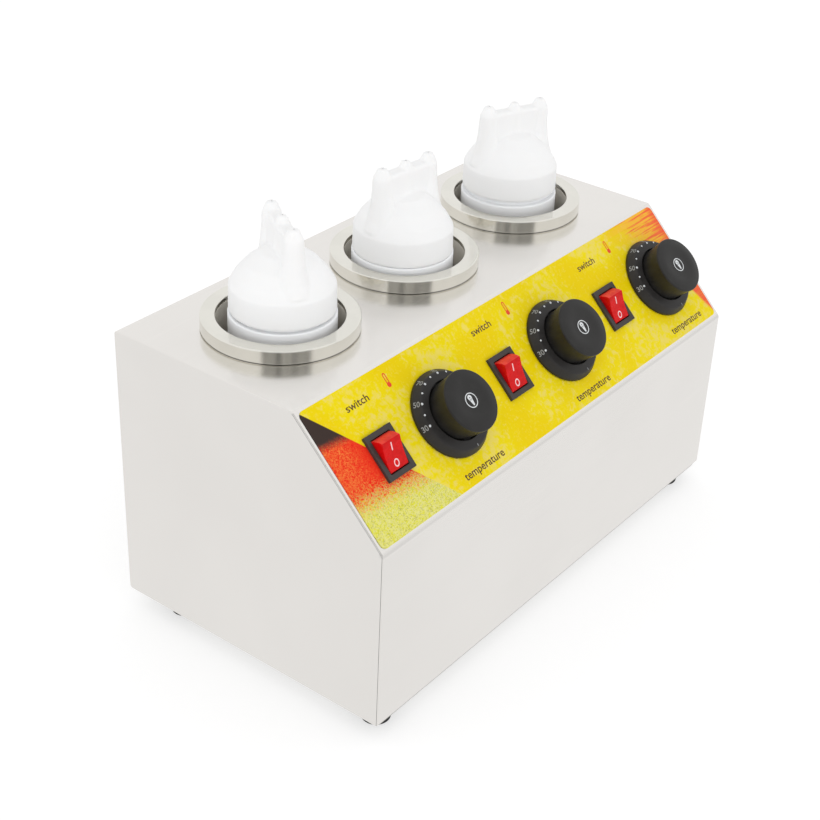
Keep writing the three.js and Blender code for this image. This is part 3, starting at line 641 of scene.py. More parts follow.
    def right_streaks(self, bench: NodeBench, x: Socket, s: Socket,
                      ground: Socket) -> Socket:
        """Return the ground with long dry-brush streaks running in from the right edge.

        Args:
            bench: The bench.
            x: Length across.
            s: Length down the slope.
            ground: The colour under the streaks.

        Returns:
            The colour.
        """
        joined = bench.tree.nodes.new("ShaderNodeCombineXYZ")
        for axis, (length, scale) in enumerate(zip((x, s), self.streak_scale)):
            bench.link(bench.math("MULTIPLY", length, scale), joined.inputs[axis])
        streaks = bench.noise(1.0, 4, 0.7, 0.3, joined.outputs[0])
        inward = bench.math("SUBTRACT", self.right_edge, x)
        top = bench.ramp(s, 4.0, 46.0, 78.0, 30.0)
        reach = bench.math("DIVIDE", inward, top)
        threshold = bench.math("MULTIPLY_ADD", reach, 0.24, 0.42)
        brush = bench.ramp(bench.math("SUBTRACT", streaks, threshold), 0.0, 0.08)
        fade = bench.ramp(s, 40.0, 58.0, 1.0, 0.0)
        upper = bench.math("MULTIPLY", brush, fade)
        lens = bench.ramp(bench.noise(1.0, 1, 0.5, 0.0, joined.outputs[0]), 0.42, 0.6, 1.0, 0.35)
        wash = bench.math("MULTIPLY", bench.ramp(reach, 0.25, 1.05, 0.95, 0.0), fade)
        washed = bench.blend(bench.math("MULTIPLY", wash, lens), ground, self.peach)
        streaked = bench.blend(bench.math("MULTIPLY", upper, 0.85), washed, self.coral)
        leant = bench.math("MULTIPLY", bench.math("SUBTRACT", self.corner_foot, s), self.corner_lean)
        corner = bench.math("SUBTRACT", leant, inward)
        low = bench.math("MULTIPLY", bench.ramp(corner, -1.5, 1.5), bench.ramp(s, 44.0, 56.0))
        ragged = bench.math("MULTIPLY", low, bench.ramp(streaks, 0.3, 0.42))
        band = bench.ramp(bench.math("MULTIPLY_ADD", streaks, 10.0, inward), 5.0, 14.0, 0.95, 0.0)
        coral = bench.blend(bench.ramp(streaks, 0.35, 0.65), self.orange, self.coral)
        band = bench.math("MULTIPLY", band, bench.ramp(s, 78.0, 92.0, 1.0, 0.0))
        edged = bench.blend(band, streaked, coral)
        return bench.blend(ragged, edged, coral)

    def build(self, bench: NodeBench) -> NodeBench:
        """Build the print and the film's satin gloss."""
        x, s = self.across_and_down(bench)
        colour = self.left_wedge(bench, x, s, self.mottled(bench))
        colour = self.right_streaks(bench, x, s, colour)
        bench.feed("Base Color", colour)
        bench.roughen(bench.noise(200.0, 2, 0.5), 0.42, 0.52)
        bench.set(IOR=1.48, Specular_IOR_Level=0.08)
        bench.bump(bench.noise(900.0, 2, 0.5), 0.06, 0.00004)
        return bench


def rounded(points: Sequence[tuple[float, float, float]], steps: int = 5) -> Profile:
    """Round the corners of a closed outline.

    Args:
        points: Each corner's two coordinates and its radius.
        steps: Straight pieces in each corner's arc.

    Returns:
        The outline's points.
    """
    outline: Profile = []
    for i, (x, y, radius) in enumerate(points):
        corner = Vector((x, y))
        before = Vector(points[i - 1][:2]) - corner
        after = Vector(points[(i + 1) % len(points)][:2]) - corner
        if radius <= 0 or before.length == 0 or after.length == 0:
            outline.append((x, y))
            continue
        half = before.angle(after) / 2
        reach = min(radius / math.tan(half), 0.49 * before.length, 0.49 * after.length)
        radius = reach * math.tan(half)
        centre = corner + (before.normalized() + after.normalized()).normalized() * radius / math.sin(half)
        start = corner + before.normalized() * reach - centre
        end = corner + after.normalized() * reach - centre
        first = math.atan2(start.y, start.x)
        sweep = (math.atan2(end.y, end.x) - first + math.pi) % math.tau - math.pi
        for k in range(steps + 1):
            angle = first + sweep * k / steps
            outline.append((centre.x + radius * math.cos(angle), centre.y + radius * math.sin(angle)))
    return outline


def offset(outline: Profile, distance: float) -> Profile:
    """Move a closed outline inward, each point along its own normal.

    Args:
        outline: The outline, in either direction.
        distance: How far in.

    Returns:
        The moved outline.
    """
    area = sum(a[0] * b[1] - b[0] * a[1] for a, b in zip(outline, outline[1:] + outline[:1]))
    side = 1 if area > 0 else -1
    moved = []
    for i, point in enumerate(outline):
        here = Vector(point)
        into = (here - Vector(outline[i - 1])).normalized()
        out = (Vector(outline[(i + 1) % len(outline)]) - here).normalized()
        mitre = Vector((-(into.y + out.y), into.x + out.x)).normalized() * side
        lean = max(0.3, mitre.dot(Vector((-into.y, into.x)) * side))
        moved.append(tuple(here + mitre * distance / lean))
    return moved


def circle(radius: float, sides: int, x: float = 0.0, y: float = 0.0) -> Profile:
    """Return a round outline."""
    return [(x + radius * math.cos(math.tau * k / sides), y + radius * math.sin(math.tau * k / sides))
            for k in range(sides)]


def rectangle(width: float, height: float, corner: float, steps: int = 5, x: float = 0.0,
              y: float = 0.0) -> Profile:
    """Return a rectangle with rounded corners.

    Args:
        width: Width.
        height: Height.
        corner: Corner radius.
        steps: Straight pieces in each corner.
        x: Place of the middle across.
        y: Place of the middle along.

    Returns:
        The outline.
    """
    return rounded([(x + a * width / 2, y + b * height / 2, corner) for a, b in SQUARE], steps)


def flat_ring(inner: float, outer: float, low: float, high: float) -> Profile:
    """Return a flat ring's section as radius and height."""
    return [(inner, low), (outer, low), (outer, high), (inner, high)]


class Shape:
    """A closed mesh in millimetres, made by turning, extruding, joining and cutting."""

    def __init__(self) -> None:
        """Start with nothing."""
        self.bm = bmesh.new()

    def turn(self, profile: Profile, sides: int) -> "Shape":
        """Turn a closed profile of (radius, height) once round Z.

        Args:
            profile: The profile, which may touch the axis.
            sides: Sides per turn.

        Returns:
            This shape.
        """
        columns = []
        for radius, height in profile:
            if radius < ON_AXIS:
                columns.append([self.bm.verts.new((0, 0, height))])
            else:
                columns.append([self.bm.verts.new((x, y, height)) for x, y in circle(radius, sides)])
        for first, second in zip(columns, columns[1:] + columns[:1]):
            for k in range(sides):
                ring = [first[k % len(first)], first[(k + 1) % len(first)],
                        second[(k + 1) % len(second)], second[k % len(second)]]
                corners = list(dict.fromkeys(ring))
                if len(corners) > 2:
                    self.bm.faces.new(corners)
        return self.tidy()

    def loft(self, loops: Sequence[Sequence[Sequence[float]]]) -> "Shape":
        """Join closed loops of equal length one after another and close both ends.

        Args:
            loops: Loops of three-dimensional points.

        Returns:
            This shape.
        """
        rows = [[self.bm.verts.new(point) for point in loop] for loop in loops]
        for first, second in zip(rows, rows[1:]):
            for k in range(len(first)):
                after = (k + 1) % len(first)
                self.bm.faces.new((first[k], first[after], second[after], second[k]))
        self.bm.faces.new(rows[0])
        self.bm.faces.new(rows[-1])
        return self.tidy()

    def rise(self, outline: Profile, low: float, high: float, edge: float = 0.0, steps: int = 4,
             lower_edge: float = 0.0) -> "Shape":
        """Extrude an outline from low to high with rounded edges.

        Args:
            outline: The outline in X and Y.
            low: Lower height.
            high: Upper height.
            edge: Radius of the upper edge.
            steps: Steps in the edge's arc.
            lower_edge: Radius of the lower edge.

        Returns:
            This shape.
        """
        loops = []
        if lower_edge > 0:
            for k in range(steps + 1):
                angle = math.pi / 2 * k / steps
                inner = offset(outline, lower_edge * (1 - math.sin(angle)))
                loops.append([(*p, low + lower_edge * (1 - math.cos(angle))) for p in inner])
        else:
            loops.append([(*p, low) for p in outline])
        if edge > 0:
            for k in range(steps + 1):
                angle = math.pi / 2 * k / steps
                inner = offset(outline, edge * (1 - math.cos(angle)))
                loops.append([(*p, high - edge * (1 - math.sin(angle))) for p in inner])
        else:
            loops.append([(*p, high) for p in outline])
        return self.loft(loops)

    def add(self, other: "Shape", place: Matrix | None = None) -> "Shape":
        """Add a copy of another shape's mesh to this one.

        Args:
            other: The other shape.
            place: Where it goes.

        Returns:
            This shape.
        """
        moved = [self.bm.verts.new((place @ v.co) if place else v.co) for v in other.bm.verts]
        other.bm.verts.index_update()
        for face in other.bm.faces:
            self.bm.faces.new([moved[v.index] for v in face.verts])
        return self.tidy()

    def face(self, points: Iterable[Sequence[float]]) -> "Shape":
        """Add one flat face."""
        self.bm.faces.new([self.bm.verts.new(point) for point in points])
        return self

    def move(self, place: Matrix) -> "Shape":
        """Move the shape."""
        self.bm.transform(place)
        return self

    def tidy(self) -> "Shape":
        """Turn all faces outward."""
        bmesh.ops.recalc_face_normals(self.bm, faces=self.bm.faces)
        return self


class Workbench:
    """Turns shapes into dressed objects that ride on the frame's bodies."""

    def __init__(self) -> None:
        """Note the scene's collection."""
        self.collection = bpy.context.scene.collection

    def object(self, name: str, shape: Shape, finish: Finish | None = None,
               place: Matrix | None = None) -> Piece:
        """Make an object of a shape in millimetres.

        Args:
            name: The object's name.
            shape: The shape, which is used up.
            finish: Its finish.
            place: The object's own place, in millimetres; the shape is in that frame.

        Returns:
            The object, in metres.
        """
        shape.bm.transform(Matrix.Scale(MM, 4))
        mesh = bpy.data.meshes.new(name)
        shape.bm.to_mesh(mesh)
        shape.bm.free()
        made = bpy.data.objects.new(name, mesh)
        self.collection.objects.link(made)
        if place is not None:
            made.matrix_world = in_metres(place)
        if finish is not None:
            mesh.materials.append(finish.material())
        return made

    def apply(self, made: Piece) -> None:
        """Apply an object's modifiers.

        Args:
            made: The object, which gets a new mesh.
        """
        bpy.context.view_layer.update()
        graph = bpy.context.evaluated_depsgraph_get()
        mesh = bpy.data.meshes.new_from_object(made.evaluated_get(graph), preserve_all_data_layers=True,
                                               depsgraph=graph)
        made.modifiers.clear()
        old = made.data
        made.data = mesh
        mesh.name = made.name
        bpy.data.meshes.remove(old)

    def carve(self, body: Piece, tools: Sequence[Piece], join: bool = False) -> None:
        """Cut tools out of a body, or join them to it, and remove them.

        Args:
            body: The body.
            tools: The tools.
            join: Join them instead.
        """
        for tool in tools:
            step = body.modifiers.new("carve", "BOOLEAN")
            step.operation = "UNION" if join else "DIFFERENCE"
            step.solver = "EXACT"
            step.material_mode = "TRANSFER"
            step.object = tool
        self.apply(body)
        for tool in tools:
            mesh = tool.data
            bpy.data.objects.remove(tool)
            bpy.data.meshes.remove(mesh)

    def shade(self, made: Piece, angle: float = SMOOTH_ANGLE) -> None:
        """Shade an object smoothly with sharp edges kept and its large faces ruling.

        Args:
            made: The object.
            angle: Edges sharper than this stay sharp.
        """
        made.data.shade_smooth()
        made.data.set_sharp_from_angle(angle=angle)
        step = made.modifiers.new("even shading", "WEIGHTED_NORMAL")
        step.keep_sharp = True
        self.apply(made)

    def melt(self, made: Piece, voxel: float, passes: int) -> None:
        """Melt an object's overlapping bodies into one soft skin.

        Args:
            made: The object.
            voxel: Cell size in millimetres.
            passes: Smoothing passes.
        """
        skin = made.modifiers.new("skin", "REMESH")
        skin.mode = "VOXEL"
        skin.voxel_size = voxel * MM
        smooth = made.modifiers.new("smooth", "SMOOTH")
        smooth.factor = 0.5
        smooth.iterations = passes
        self.apply(made)

    def seat(self, made: Piece, body: str, slot: str | None = None, *nodes: str) -> None:
        """Let a piece ride a body and stand for its nodes.

        Args:
            made: The piece.
            body: The body.
            slot: The record's slot; not used.
            nodes: CAD nodes that it stands for.
        """
        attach(made, body)
        if nodes:
            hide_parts(*nodes)
        log.info("%s rides %s, %d faces", made.name, body, len(made.data.polygons))

    def dress(self, frame: dict, finish: Finish, *nodes: str) -> None:
        """Give CAD nodes a finish.

        Args:
            frame: The frame.
            finish: The finish.
            nodes: The nodes.
        """
        for node in nodes:
            made = frame["nodes"][node]
            made.data.materials.clear()
            made.data.materials.append(finish.material())
            log.info("%s keeps its shape", node)


@dataclass(frozen=True)
class Frontage:
    """The casing's main sizes in the row frame, in millimetres, and places on its slope."""

    front: float = -116.8
    back: float = 101.2
    foot: float = 13.3
    top: float = 213.3
    half: float = 200.0
    fold_y: float = -46.8
    slope: float = math.radians(45)
    stations: tuple[float, ...] = (-126.0, 0.0, 126.0)
    well_y: float = 28.2
    control_line: float = 50.0
    switch_offset: float = -28.0
    knob_offset: float = 31.5

    def on_slope(self, x: float, down: float, lift: float = 0.0) -> Matrix:
        """Return a frame on the slope: X across, Y up the slope and Z out of it.

        Args:
            x: Place across.
            down: Length down the slope from the upper fold.
            lift: Height over the sheet.

        Returns:
            The frame.
        """
        cos, sin = math.cos(self.slope), math.sin(self.slope)
        place = Vector((x, self.fold_y - down * cos - lift * sin, self.top - down * sin + lift * cos))
        return Matrix.Translation(place) @ Matrix.Rotation(self.slope, 4, "X")

    def switch(self, i: int) -> Matrix:
        """Return the frame of a station's switch."""
        return self.on_slope(self.stations[i] + self.switch_offset, self.control_line)

    def knob(self, i: int) -> Matrix:
        """Return the frame of a station's knob."""
        return self.on_slope(self.stations[i] + self.knob_offset, self.control_line)

    def well(self, i: int, height: float = 0.0) -> Matrix:
        """Return the frame of a station's well, at a height over the casing's top."""
        return Matrix.Translation((self.stations[i], self.well_y, self.top + height))


@dataclass
class Casing:
    """The folded sheet casing with its end seams, their groove walls painted dark as shade."""

    bench: Workbench
    front: Frontage
    # Painted shade: the seam grooves' walls take this dark grey.
    gap: Finish = Ink(srgb(84, 81, 78), 0.6)
    sheet: float = 1.0
    fold: float = 2.2
    slope_fold: float = 3.6
    end_fold: float = 0.6
    returns: float = 14.0
    return_corner: float = 3.0
    seam_inset: float = 0.8
    seam_width: float = 0.28
    seam_depth: float = 0.25
    well_lip: float = 42.7
    bush_radius: float = 5.4
    slot_width: float = 22.8
    slot_length: float = 28.6
    slot_corner: float = 0.5
    overrun: float = 2.0
    screw_hole: float = 2.1
    rear_screws: tuple[tuple[float, float], ...] = ()

    def corners(self) -> list[tuple[float, float, float]]:
        """Return the side's corners as Y, Z and radius."""
        f, r = self.front, self.fold
        rise = (f.fold_y - f.front) * math.tan(f.slope)
        return [(f.front, f.foot, r), (f.back, f.foot, r), (f.back, f.top, r), (f.fold_y, f.top, r),
                (f.front, f.top - rise, self.slope_fold)]

    def rear(self, x: float, z: float) -> Matrix:
        """Return a frame on the rear wall."""
        return Matrix.Translation((x, self.front.back, z)) @ Matrix.Rotation(math.pi / 2, 4, "X")

    def outside(self) -> Shape:
        """Return the whole casing as one block with its folds rounded."""
        folds = rounded(self.corners(), 8)
        half = self.front.half
        return Shape().rise(folds, -half, half, self.end_fold, 5, self.end_fold).move(SIDEWAYS)

    def inside(self) -> Shape:
        """Return the space inside the sheet."""
        outline = offset([(y, z) for y, z, _ in self.corners()], self.sheet)
        half = self.front.half - self.sheet
        return Shape().rise(outline, -half, half).move(SIDEWAYS)

    def seam(self, x: float) -> Shape:
        """Return the cutter of an end's seam, along its front and slope.

        Args:
            x: The end's place.

        Returns:
            The cutter.
        """
        sides = [(y, z) for y, z, _ in self.corners()]
        outer, inner = offset(sides, self.seam_inset), offset(sides, self.seam_inset + self.seam_width)
        strip = [outer[0], inner[0], inner[4], inner[3], outer[3], outer[4]]
        return Shape().rise(strip, x - self.seam_depth, x + self.seam_depth).move(SIDEWAYS)

    def openings(self) -> Iterable[Shape]:
        """Return the cutters of the bottom, the back, the wells, the switches and the thermostat bushes."""
        f, out, through = self.front, self.overrun, self.sheet + self.overrun
        sizes = (2 * f.half, f.back - f.front, f.top - f.foot)
        width, depth, tall = (size - 2 * self.returns for size in sizes)
        base = rectangle(width, depth, self.return_corner, 4, 0, (f.back + f.front) / 2)
        yield Shape().rise(base, f.foot - out, f.foot + through)
        back = Shape().rise(rectangle(width, tall, self.return_corner, 4), -through, through)
        yield back.move(self.rear(0, (f.top + f.foot) / 2))
        for i, x in enumerate(f.stations):
            yield Shape().rise(circle(self.well_lip, 96, x, f.well_y), f.top - through, f.top + out)
            slot = rectangle(self.slot_width, self.slot_length, self.slot_corner)
            yield Shape().rise(slot, -through, out).move(f.switch(i))
            yield Shape().rise(circle(self.bush_radius, 32), -through, out).move(f.knob(i))
        for x, z in self.rear_screws:
            yield Shape().rise(circle(self.screw_hole, 24), -through, through).move(self.rear(x, z))

    def build(self) -> None:
        """Build the shell."""
        y, z, _ = self.corners()[-1]
        # The slope's lower fold gets a painted shade line in the steel's colour.
        finish = SheetSteel(shaded_fold=(y * MM, z * MM))
        shell = self.bench.object("casing_skin", self.outside(), finish)
        tools = [self.bench.object("space", self.inside(), finish)]
        tools += [self.bench.object("opening", shape, finish) for shape in self.openings()]
        ends = (-self.front.half, self.front.half)
        # The seam cutters pass their dark grey to the groove walls as painted shade.
        tools += [self.bench.object("seam", self.seam(x), self.gap) for x in ends]
        self.bench.carve(shell, tools)
        self.bench.shade(shell, math.radians(25))
        self.bench.seat(shell, CASE, "casing_steel", "casing_shell")


@dataclass
class Well:
    """One heated well: the polished ring on the casing and the drawn cup under it."""

    bench: Workbench
    front: Frontage
    ring_finish: Finish = TurnedSteel()
    cup_finish: Finish = DullSteel(srgb(226, 221, 210), 0.6, 0.2)
    ring_lift: float = 0.3
    ring_height: float = 9.2
    ring_radius: float = 51.0
    ring_edge: float = 0.8
    foot_step: float = 0.6
    foot_rise: float = 0.6
    bore: float = 41.2
    lip: float = 42.7
    lip_depth: float = 3.0
    cup_wall: float = 1.0
    cup_rim: float = 219.5
    cup_floor: float = 56.3
    cup_fillet: float = 6.0
    sides: int = 128

    def ring(self, i: int, name: str) -> None:
        """Build a station's ring.

        Args:
            i: The station's number.
            name: The station's name.
        """
        h, r, e = self.ring_height, self.ring_radius, self.ring_edge
        profile = rounded([
            (self.lip, 0, 0), (r - self.foot_step, 0, 0), (r - self.foot_step, self.foot_rise, 0),
            (r, self.foot_rise, 0.25), (r, h, e), (self.bore, h, e), (self.bore, h - self.lip_depth, 0.2),
            (self.lip, h - self.lip_depth, 0),
        ], 6)
        ring = self.bench.object(f"ring_{name}", Shape().turn(profile, self.sides), self.ring_finish,
                                 self.front.well(i, self.ring_lift))
        self.bench.shade(ring)
        self.bench.seat(ring, CASE, "polished_steel", f"well_ring_{name}")

    def cup(self, i: int, name: str) -> None:
        """Build a station's cup.

        Args:
            i: The station's number.
            name: The station's name.
        """
        rim, floor, wall, fillet = self.cup_rim, self.cup_floor, self.cup_wall, self.cup_fillet
        profile = rounded([
            (0, floor - wall, 0), (self.bore + wall, floor - wall, fillet), (self.bore + wall, rim, 0.3),
            (self.bore, rim, 0.3), (self.bore, floor, fillet - wall), (0, floor, 0),
        ], 8)
        place = self.front.well(i)
        place.translation.z = 0
        cup = self.bench.object(f"cup_{name}", Shape().turn(profile, self.sides), self.cup_finish, place)
        self.bench.shade(cup)
        self.bench.seat(cup, CASE, "cup_steel", f"well_cup_{name}")

    def build(self) -> None:
        """Build all wells."""
        for i, name in enumerate(STATIONS):
            self.ring(i, name)
            self.cup(i, name)


@dataclass(frozen=True)
class Stand:
    """How a bottle stands in its well and how far its lid is screwed down."""

    x: float
    y: float
    turn: float
    lid_rise: float


@dataclass
class SqueezeBottle:
    """A soft bottle with a lid of three spouts in a row."""

    bench: Workbench
    front: Frontage
    body_finish: Finish = MilkyPlastic(srgb(246, 247, 249), 0.6, 0.25, 0.004, 0.05)
    lid_finish: Finish = MilkyPlastic(srgb(246, 246, 246), 0.5, 0.2, 0.003, 0.1)
    stands: tuple[Stand, ...] = (Stand(0.9, -0.9, 60, 1.6), Stand(-3.6, -1, -6.5, 0),
                                 Stand(2, 3.2, -22.6, 3.2))
    foot: float = 56.6
    radius: float = 34.7
    wall: float = 1.6
    ledge: float = 168.7
    neck: float = 31.6
    neck_wall: float = 2.0
    neck_height: float = 15.0
    thread_turns: int = 3
    thread_start: float = 3.5
    thread_pitch: float = 3.6
    thread_depth: float = 0.5
    base_push: float = 1.6
    lid_gap: float = 0.3
    lid_radius: float = 34.2
    lid_wall: float = 2.0
    skirt: float = 17.0
    draft: float = 0.3
    dome: float = 43.0
    dome_shares: tuple[tuple[float, float], ...] = ((0.95, 0.1), (0.862, 0.29), (0.68, 0.56), (0.4, 0.84))
    spout_height: float = 62.6
    spout_pitch: float = 21.5
    spout_foot: float = 12.0
    spout_radius: float = 6.3
    spout_tip: float = 3.3
    spout_taper: float = 6.5
    middle_share: float = 0.86
    bore: float = 0.7
    flare: tuple[tuple[float, float], ...] = ((9.4, 10.4), (7.8, 18.0), (6.8, 27.0))
    web: float = 10.5
    web_drop: float = 4.8
    voxel: float = 0.75
    melt_passes: int = 5
    kept_share: float = 0.35
    sides: int = 96

    def place(self, i: int) -> Matrix:
        """Return a bottle's own frame on its floor."""
        stand = self.stands[i]
        spot = Vector((self.front.stations[i] + stand.x, self.front.well_y + stand.y, self.foot))
        return Matrix.Translation(spot) @ Matrix.Rotation(math.radians(stand.turn), 4, "Z")

    def body(self, i: int, name: str) -> None:
        """Build a bottle.

        Args:
            i: The station's number.
            name: The station's name.
        """
        r, w, top, neck = self.radius, self.wall, self.ledge, self.neck
        inner, root = neck - self.neck_wall, neck - self.thread_depth
        end, push = top + self.neck_height, self.base_push
        thread: list[tuple[float, float, float]] = []
        for k in range(self.thread_turns):
            base = top + self.thread_start + self.thread_pitch * k
            crest = [(neck, base + 0.7, 0.2), (neck, base + 1.3, 0.2)]
            thread += [(root, base, 0), *crest, (root, base + 2.0, 0)]
        profile = rounded([
            (0, push, 0), (r - 10, push, 3), (r - 6.5, 0, 2), (r, 0, 5), (r, top, 1.1), (root, top, 0.5),
            *thread, (root, end, 0.6), (inner, end, 0.6), (inner, top - 0.4, 0.8), (r - w, top - w - 1.6, 2),
            (r - w, push + w, 4), (0, push + w, 0),
        ], 5)
        wall = Shape().turn(profile, self.sides)
        bottle = self.bench.object(f"squeeze_bottle_{name}", wall, self.body_finish,
                                   self.place(i))
        self.bench.shade(bottle)
        self.bench.seat(bottle, f"bottle_{name}", "bottle_plastic", f"bottle_{name}")

    def dome_profile(self, shrink: float, base: float) -> Profile:
        """Return the lid's outline as radius and height.

        Args:
            shrink: How far the outline lies inside the outer one.
            base: Height of its lower end.

        Returns:
            The outline down to the axis.
        """
        r, rise = self.lid_radius, self.dome - self.skirt
        curve = [(across * r - shrink, self.skirt + up * rise - shrink) for across, up in self.dome_shares]
        return [(0, base), (r - shrink, base), (r - self.draft - shrink, self.skirt - shrink * 0.6), *curve,
                (0, self.dome - shrink)]

    def spout(self, x: float, share: float) -> Shape:
        """Return a spout.

        Args:
            x: Its place along the row.
            share: Its width as a share of the outer ones.

        Returns:
            The spout.
        """
        start = self.spout_height - self.spout_taper
        sides = [(wide * share, self.skirt + up, 8) for wide, up in self.flare]
        profile = rounded([
            (0, self.skirt + 3, 0), (self.spout_foot * share, self.skirt + 3, 0), *sides,
            (self.spout_radius * share, start, 6), (self.spout_tip * share, self.spout_height, 1.6),
            (0, self.spout_height, 0),
        ], 6)
        return Shape().turn(profile, 40).move(Matrix.Translation((x, 0, 0)))

    def lid(self, i: int, name: str) -> None:
        """Build a lid.

        Args:
            i: The station's number.
            name: The station's name.
        """
        place = self.place(i)
        place.translation.z += self.ledge + self.lid_gap + self.stands[i].lid_rise
        web_top = self.spout_height - self.web_drop
        skin = Shape().turn(self.dome_profile(0, 0), self.sides)
        skin.add(Shape().rise(rectangle(2 * self.spout_pitch, self.web, 3), self.skirt, web_top, 2))
        for side in (-1, 0, 1):
            skin.add(self.spout(side * self.spout_pitch, 1 if side else self.middle_share))
        lid = self.bench.object(f"spouted_lid_{name}", skin, self.lid_finish, place)
        self.bench.melt(lid, self.voxel, self.melt_passes)
        thin = lid.modifiers.new("thin", "DECIMATE")
        thin.ratio = self.kept_share
        self.bench.apply(lid)
        tools = [self.bench.object("hollow", Shape().turn(self.dome_profile(self.lid_wall, -2), self.sides),
                                   self.lid_finish, place)]
        for side in (-1, 0, 1):
            outline = circle(self.bore, 20, side * self.spout_pitch)
            hole = Shape().rise(outline, self.skirt, self.spout_height + 2)
            tools.append(self.bench.object("bore", hole, self.lid_finish, place))
        self.bench.carve(lid, tools)
        self.bench.shade(lid, math.radians(38))
        self.bench.seat(lid, f"lid_{name}", "lid_plastic", f"bottle_lid_{name}")

    def build(self) -> None:
        """Build all bottles and lids."""
        for i, name in enumerate(STATIONS):
            self.body(i, name)
            self.lid(i, name)


class Mark(Enum):
    """What is printed or filled in on a control."""

    STROKE = "stroke"
    RING = "ring"


@dataclass
class RockerSwitch:
    """A rocker switch: the black body with its bezel and the red rocker with its two marks."""

    bench: Workbench
    front: Frontage
    body_finish: Finish = MouldedPlastic(srgb(62, 57, 55), 0.42)
    rocker_finish: Finish = GlossPlastic()
    # Painted highlight: a paler copy of the rocker's red for the end faces that face up the slope, as if lit
    # there.
    lit_end_finish: Finish = GlossPlastic(srgb(238, 66, 52), 0.3)
    lit_end_facing: float = 0.8
    mark_finish: Finish = Ink(srgb(255, 214, 218))
    seat_height: float = 0.45
    bezel_width: float = 25.0
    bezel_length: float = 30.9
    bezel_height: float = 2.1
    bezel_bar: float = 3.7
    bezel_corner: float = 0.4
    bezel_edge: float = 0.3
    housing_step: float = 1.2
    depth: float = 19.0
    floor: float = 3.0
    pivot_drop: float = 1.1
    tilt: float = 21.0
    crown: float = 36.0
    skirt: float = 16.0
    valley: float = 5.9
    valley_bend: float = 30.0
    crest_edge: float = 0.6
    side_edge: float = 0.5
    belly: float = 5.2
    gap: float = 0.3
    pin_radius: float = 1.2
    blade_length: float = 8.0
    blade_width: float = 6.3
    blade_thickness: float = 0.8
    blade_spacing: float = 4.3
    mark_place: float = 5.3
    mark_shift: float = -0.9
    mark_length: float = 5.2
    mark_width: float = 4.4
    mark_line: float = 0.85
    mark_sink: float = 0.4
    mark_proud: float = 0.06

    def window(self) -> tuple[float, float]:
        """Return the window's width and length."""
        return self.bezel_width - 2 * self.bezel_bar, self.bezel_length - 2 * self.bezel_bar

    def body(self, i: int, name: str) -> None:
        """Build a switch body.

        Args:
            i: The station's number.
            name: The station's name.
        """
        def part(kind: str, shape: Shape) -> Piece:
            """Return an object in the switch's frame."""
            return self.bench.object(kind, shape, self.body_finish, self.front.switch(i))

        top, step = self.seat_height + self.bezel_height, 2 * self.housing_step
        wide, long = self.window()
        outer = rectangle(self.bezel_width, self.bezel_length, self.bezel_corner, 3)
        bezel = part(f"switch_case_{name}", Shape().rise(outer, self.seat_height, top, self.bezel_edge, 3))
        box = rectangle(self.bezel_width - step, self.bezel_length - step, 0.5)
        joined = [part("housing", Shape().rise(box, -self.depth, top - 1))]
        for side in (-1, 1):
            spot = side * self.bezel_length / self.blade_spacing
            blade = rectangle(self.blade_width, self.blade_thickness, 0.1, 2, 0, spot)
            tip = -self.depth - self.blade_length
            joined.append(part("blade", Shape().rise(blade, tip, -self.depth + 1)))
        self.bench.carve(bezel, joined, join=True)
        cavity = Shape().rise(rectangle(wide, long, 0.4), -self.depth + self.floor, top + 2)
        lead = [[(*p, z) for p in rectangle(wide + grow, long + grow, 0.6)] for z, grow in
                ((top - 0.5, 0.0), (top + 0.1, 0.7))]
        self.bench.carve(bezel, [part("cavity", cavity), part("lead", Shape().loft(lead))])
        self.bench.shade(bezel)
        self.bench.seat(bezel, CASE, "grey_plastic", f"switch_body_{name}")

    def radius(self) -> float:
        """Return the reach of the rocker's round ends from its pivot."""
        return self.window()[1] / 2 - self.gap

    def side_view(self) -> Profile:
        """Return the rocker's outline seen from its side, level."""
        radius, steps = self.radius(), 6
        crown, skirt = math.radians(self.crown), math.radians(self.skirt)
        turns = [-skirt + (crown + skirt) * k / steps for k in range(steps + 1)]
        end = [(radius * math.cos(a), radius * math.sin(a), 0.0) for a in turns]
        end[-1] = (*end[-1][:2], self.crest_edge)
        far = [(-y, z, edge) for y, z, edge in reversed(end)]
        third = radius / 3
        belly = [(-third, -self.belly, 1), (third, -self.belly, 1)]
        return rounded([*end, (0, self.valley, self.valley_bend), *far, *belly], 6)

    def level(self, i: int) -> Matrix:
        """Return the rocker's own frame, turned about its pivot."""
        lift = Matrix.Translation((0, 0, self.seat_height - self.pivot_drop))
        return self.front.switch(i) @ lift @ Matrix.Rotation(math.radians(self.tilt), 4, "X")

    def rocker(self, i: int, name: str) -> None:
        """Build a rocker with its marks.

        Args:
            i: The station's number.
            name: The station's name.
        """
        half, level = self.window()[0] / 2 - self.gap, self.level(i)
        paddle = Shape().rise(self.side_view(), -half, half, self.side_edge, 4, self.side_edge).move(SIDEWAYS)
        pin = Shape().rise(circle(self.pin_radius, 24), -half - 1, half + 1).move(SIDEWAYS)
        rocker = self.bench.object(f"rocker_paddle_{name}", paddle, self.rocker_finish, level)
        self.bench.carve(rocker, [self.bench.object("pin", pin, self.rocker_finish, level)], join=True)
        # Faces pointing up the slope take the paler red, a painted highlight.
        rocker.data.materials.append(self.lit_end_finish.material())
        for face in rocker.data.polygons:
            if face.normal.y > self.lit_end_facing:
                face.material_index = len(rocker.data.materials) - 1
        self.bench.shade(rocker)
        self.bench.seat(rocker, f"rocker_{name}", "red_plastic", f"switch_rocker_{name}")
        for mark in Mark:
            self.mark(i, name, mark)

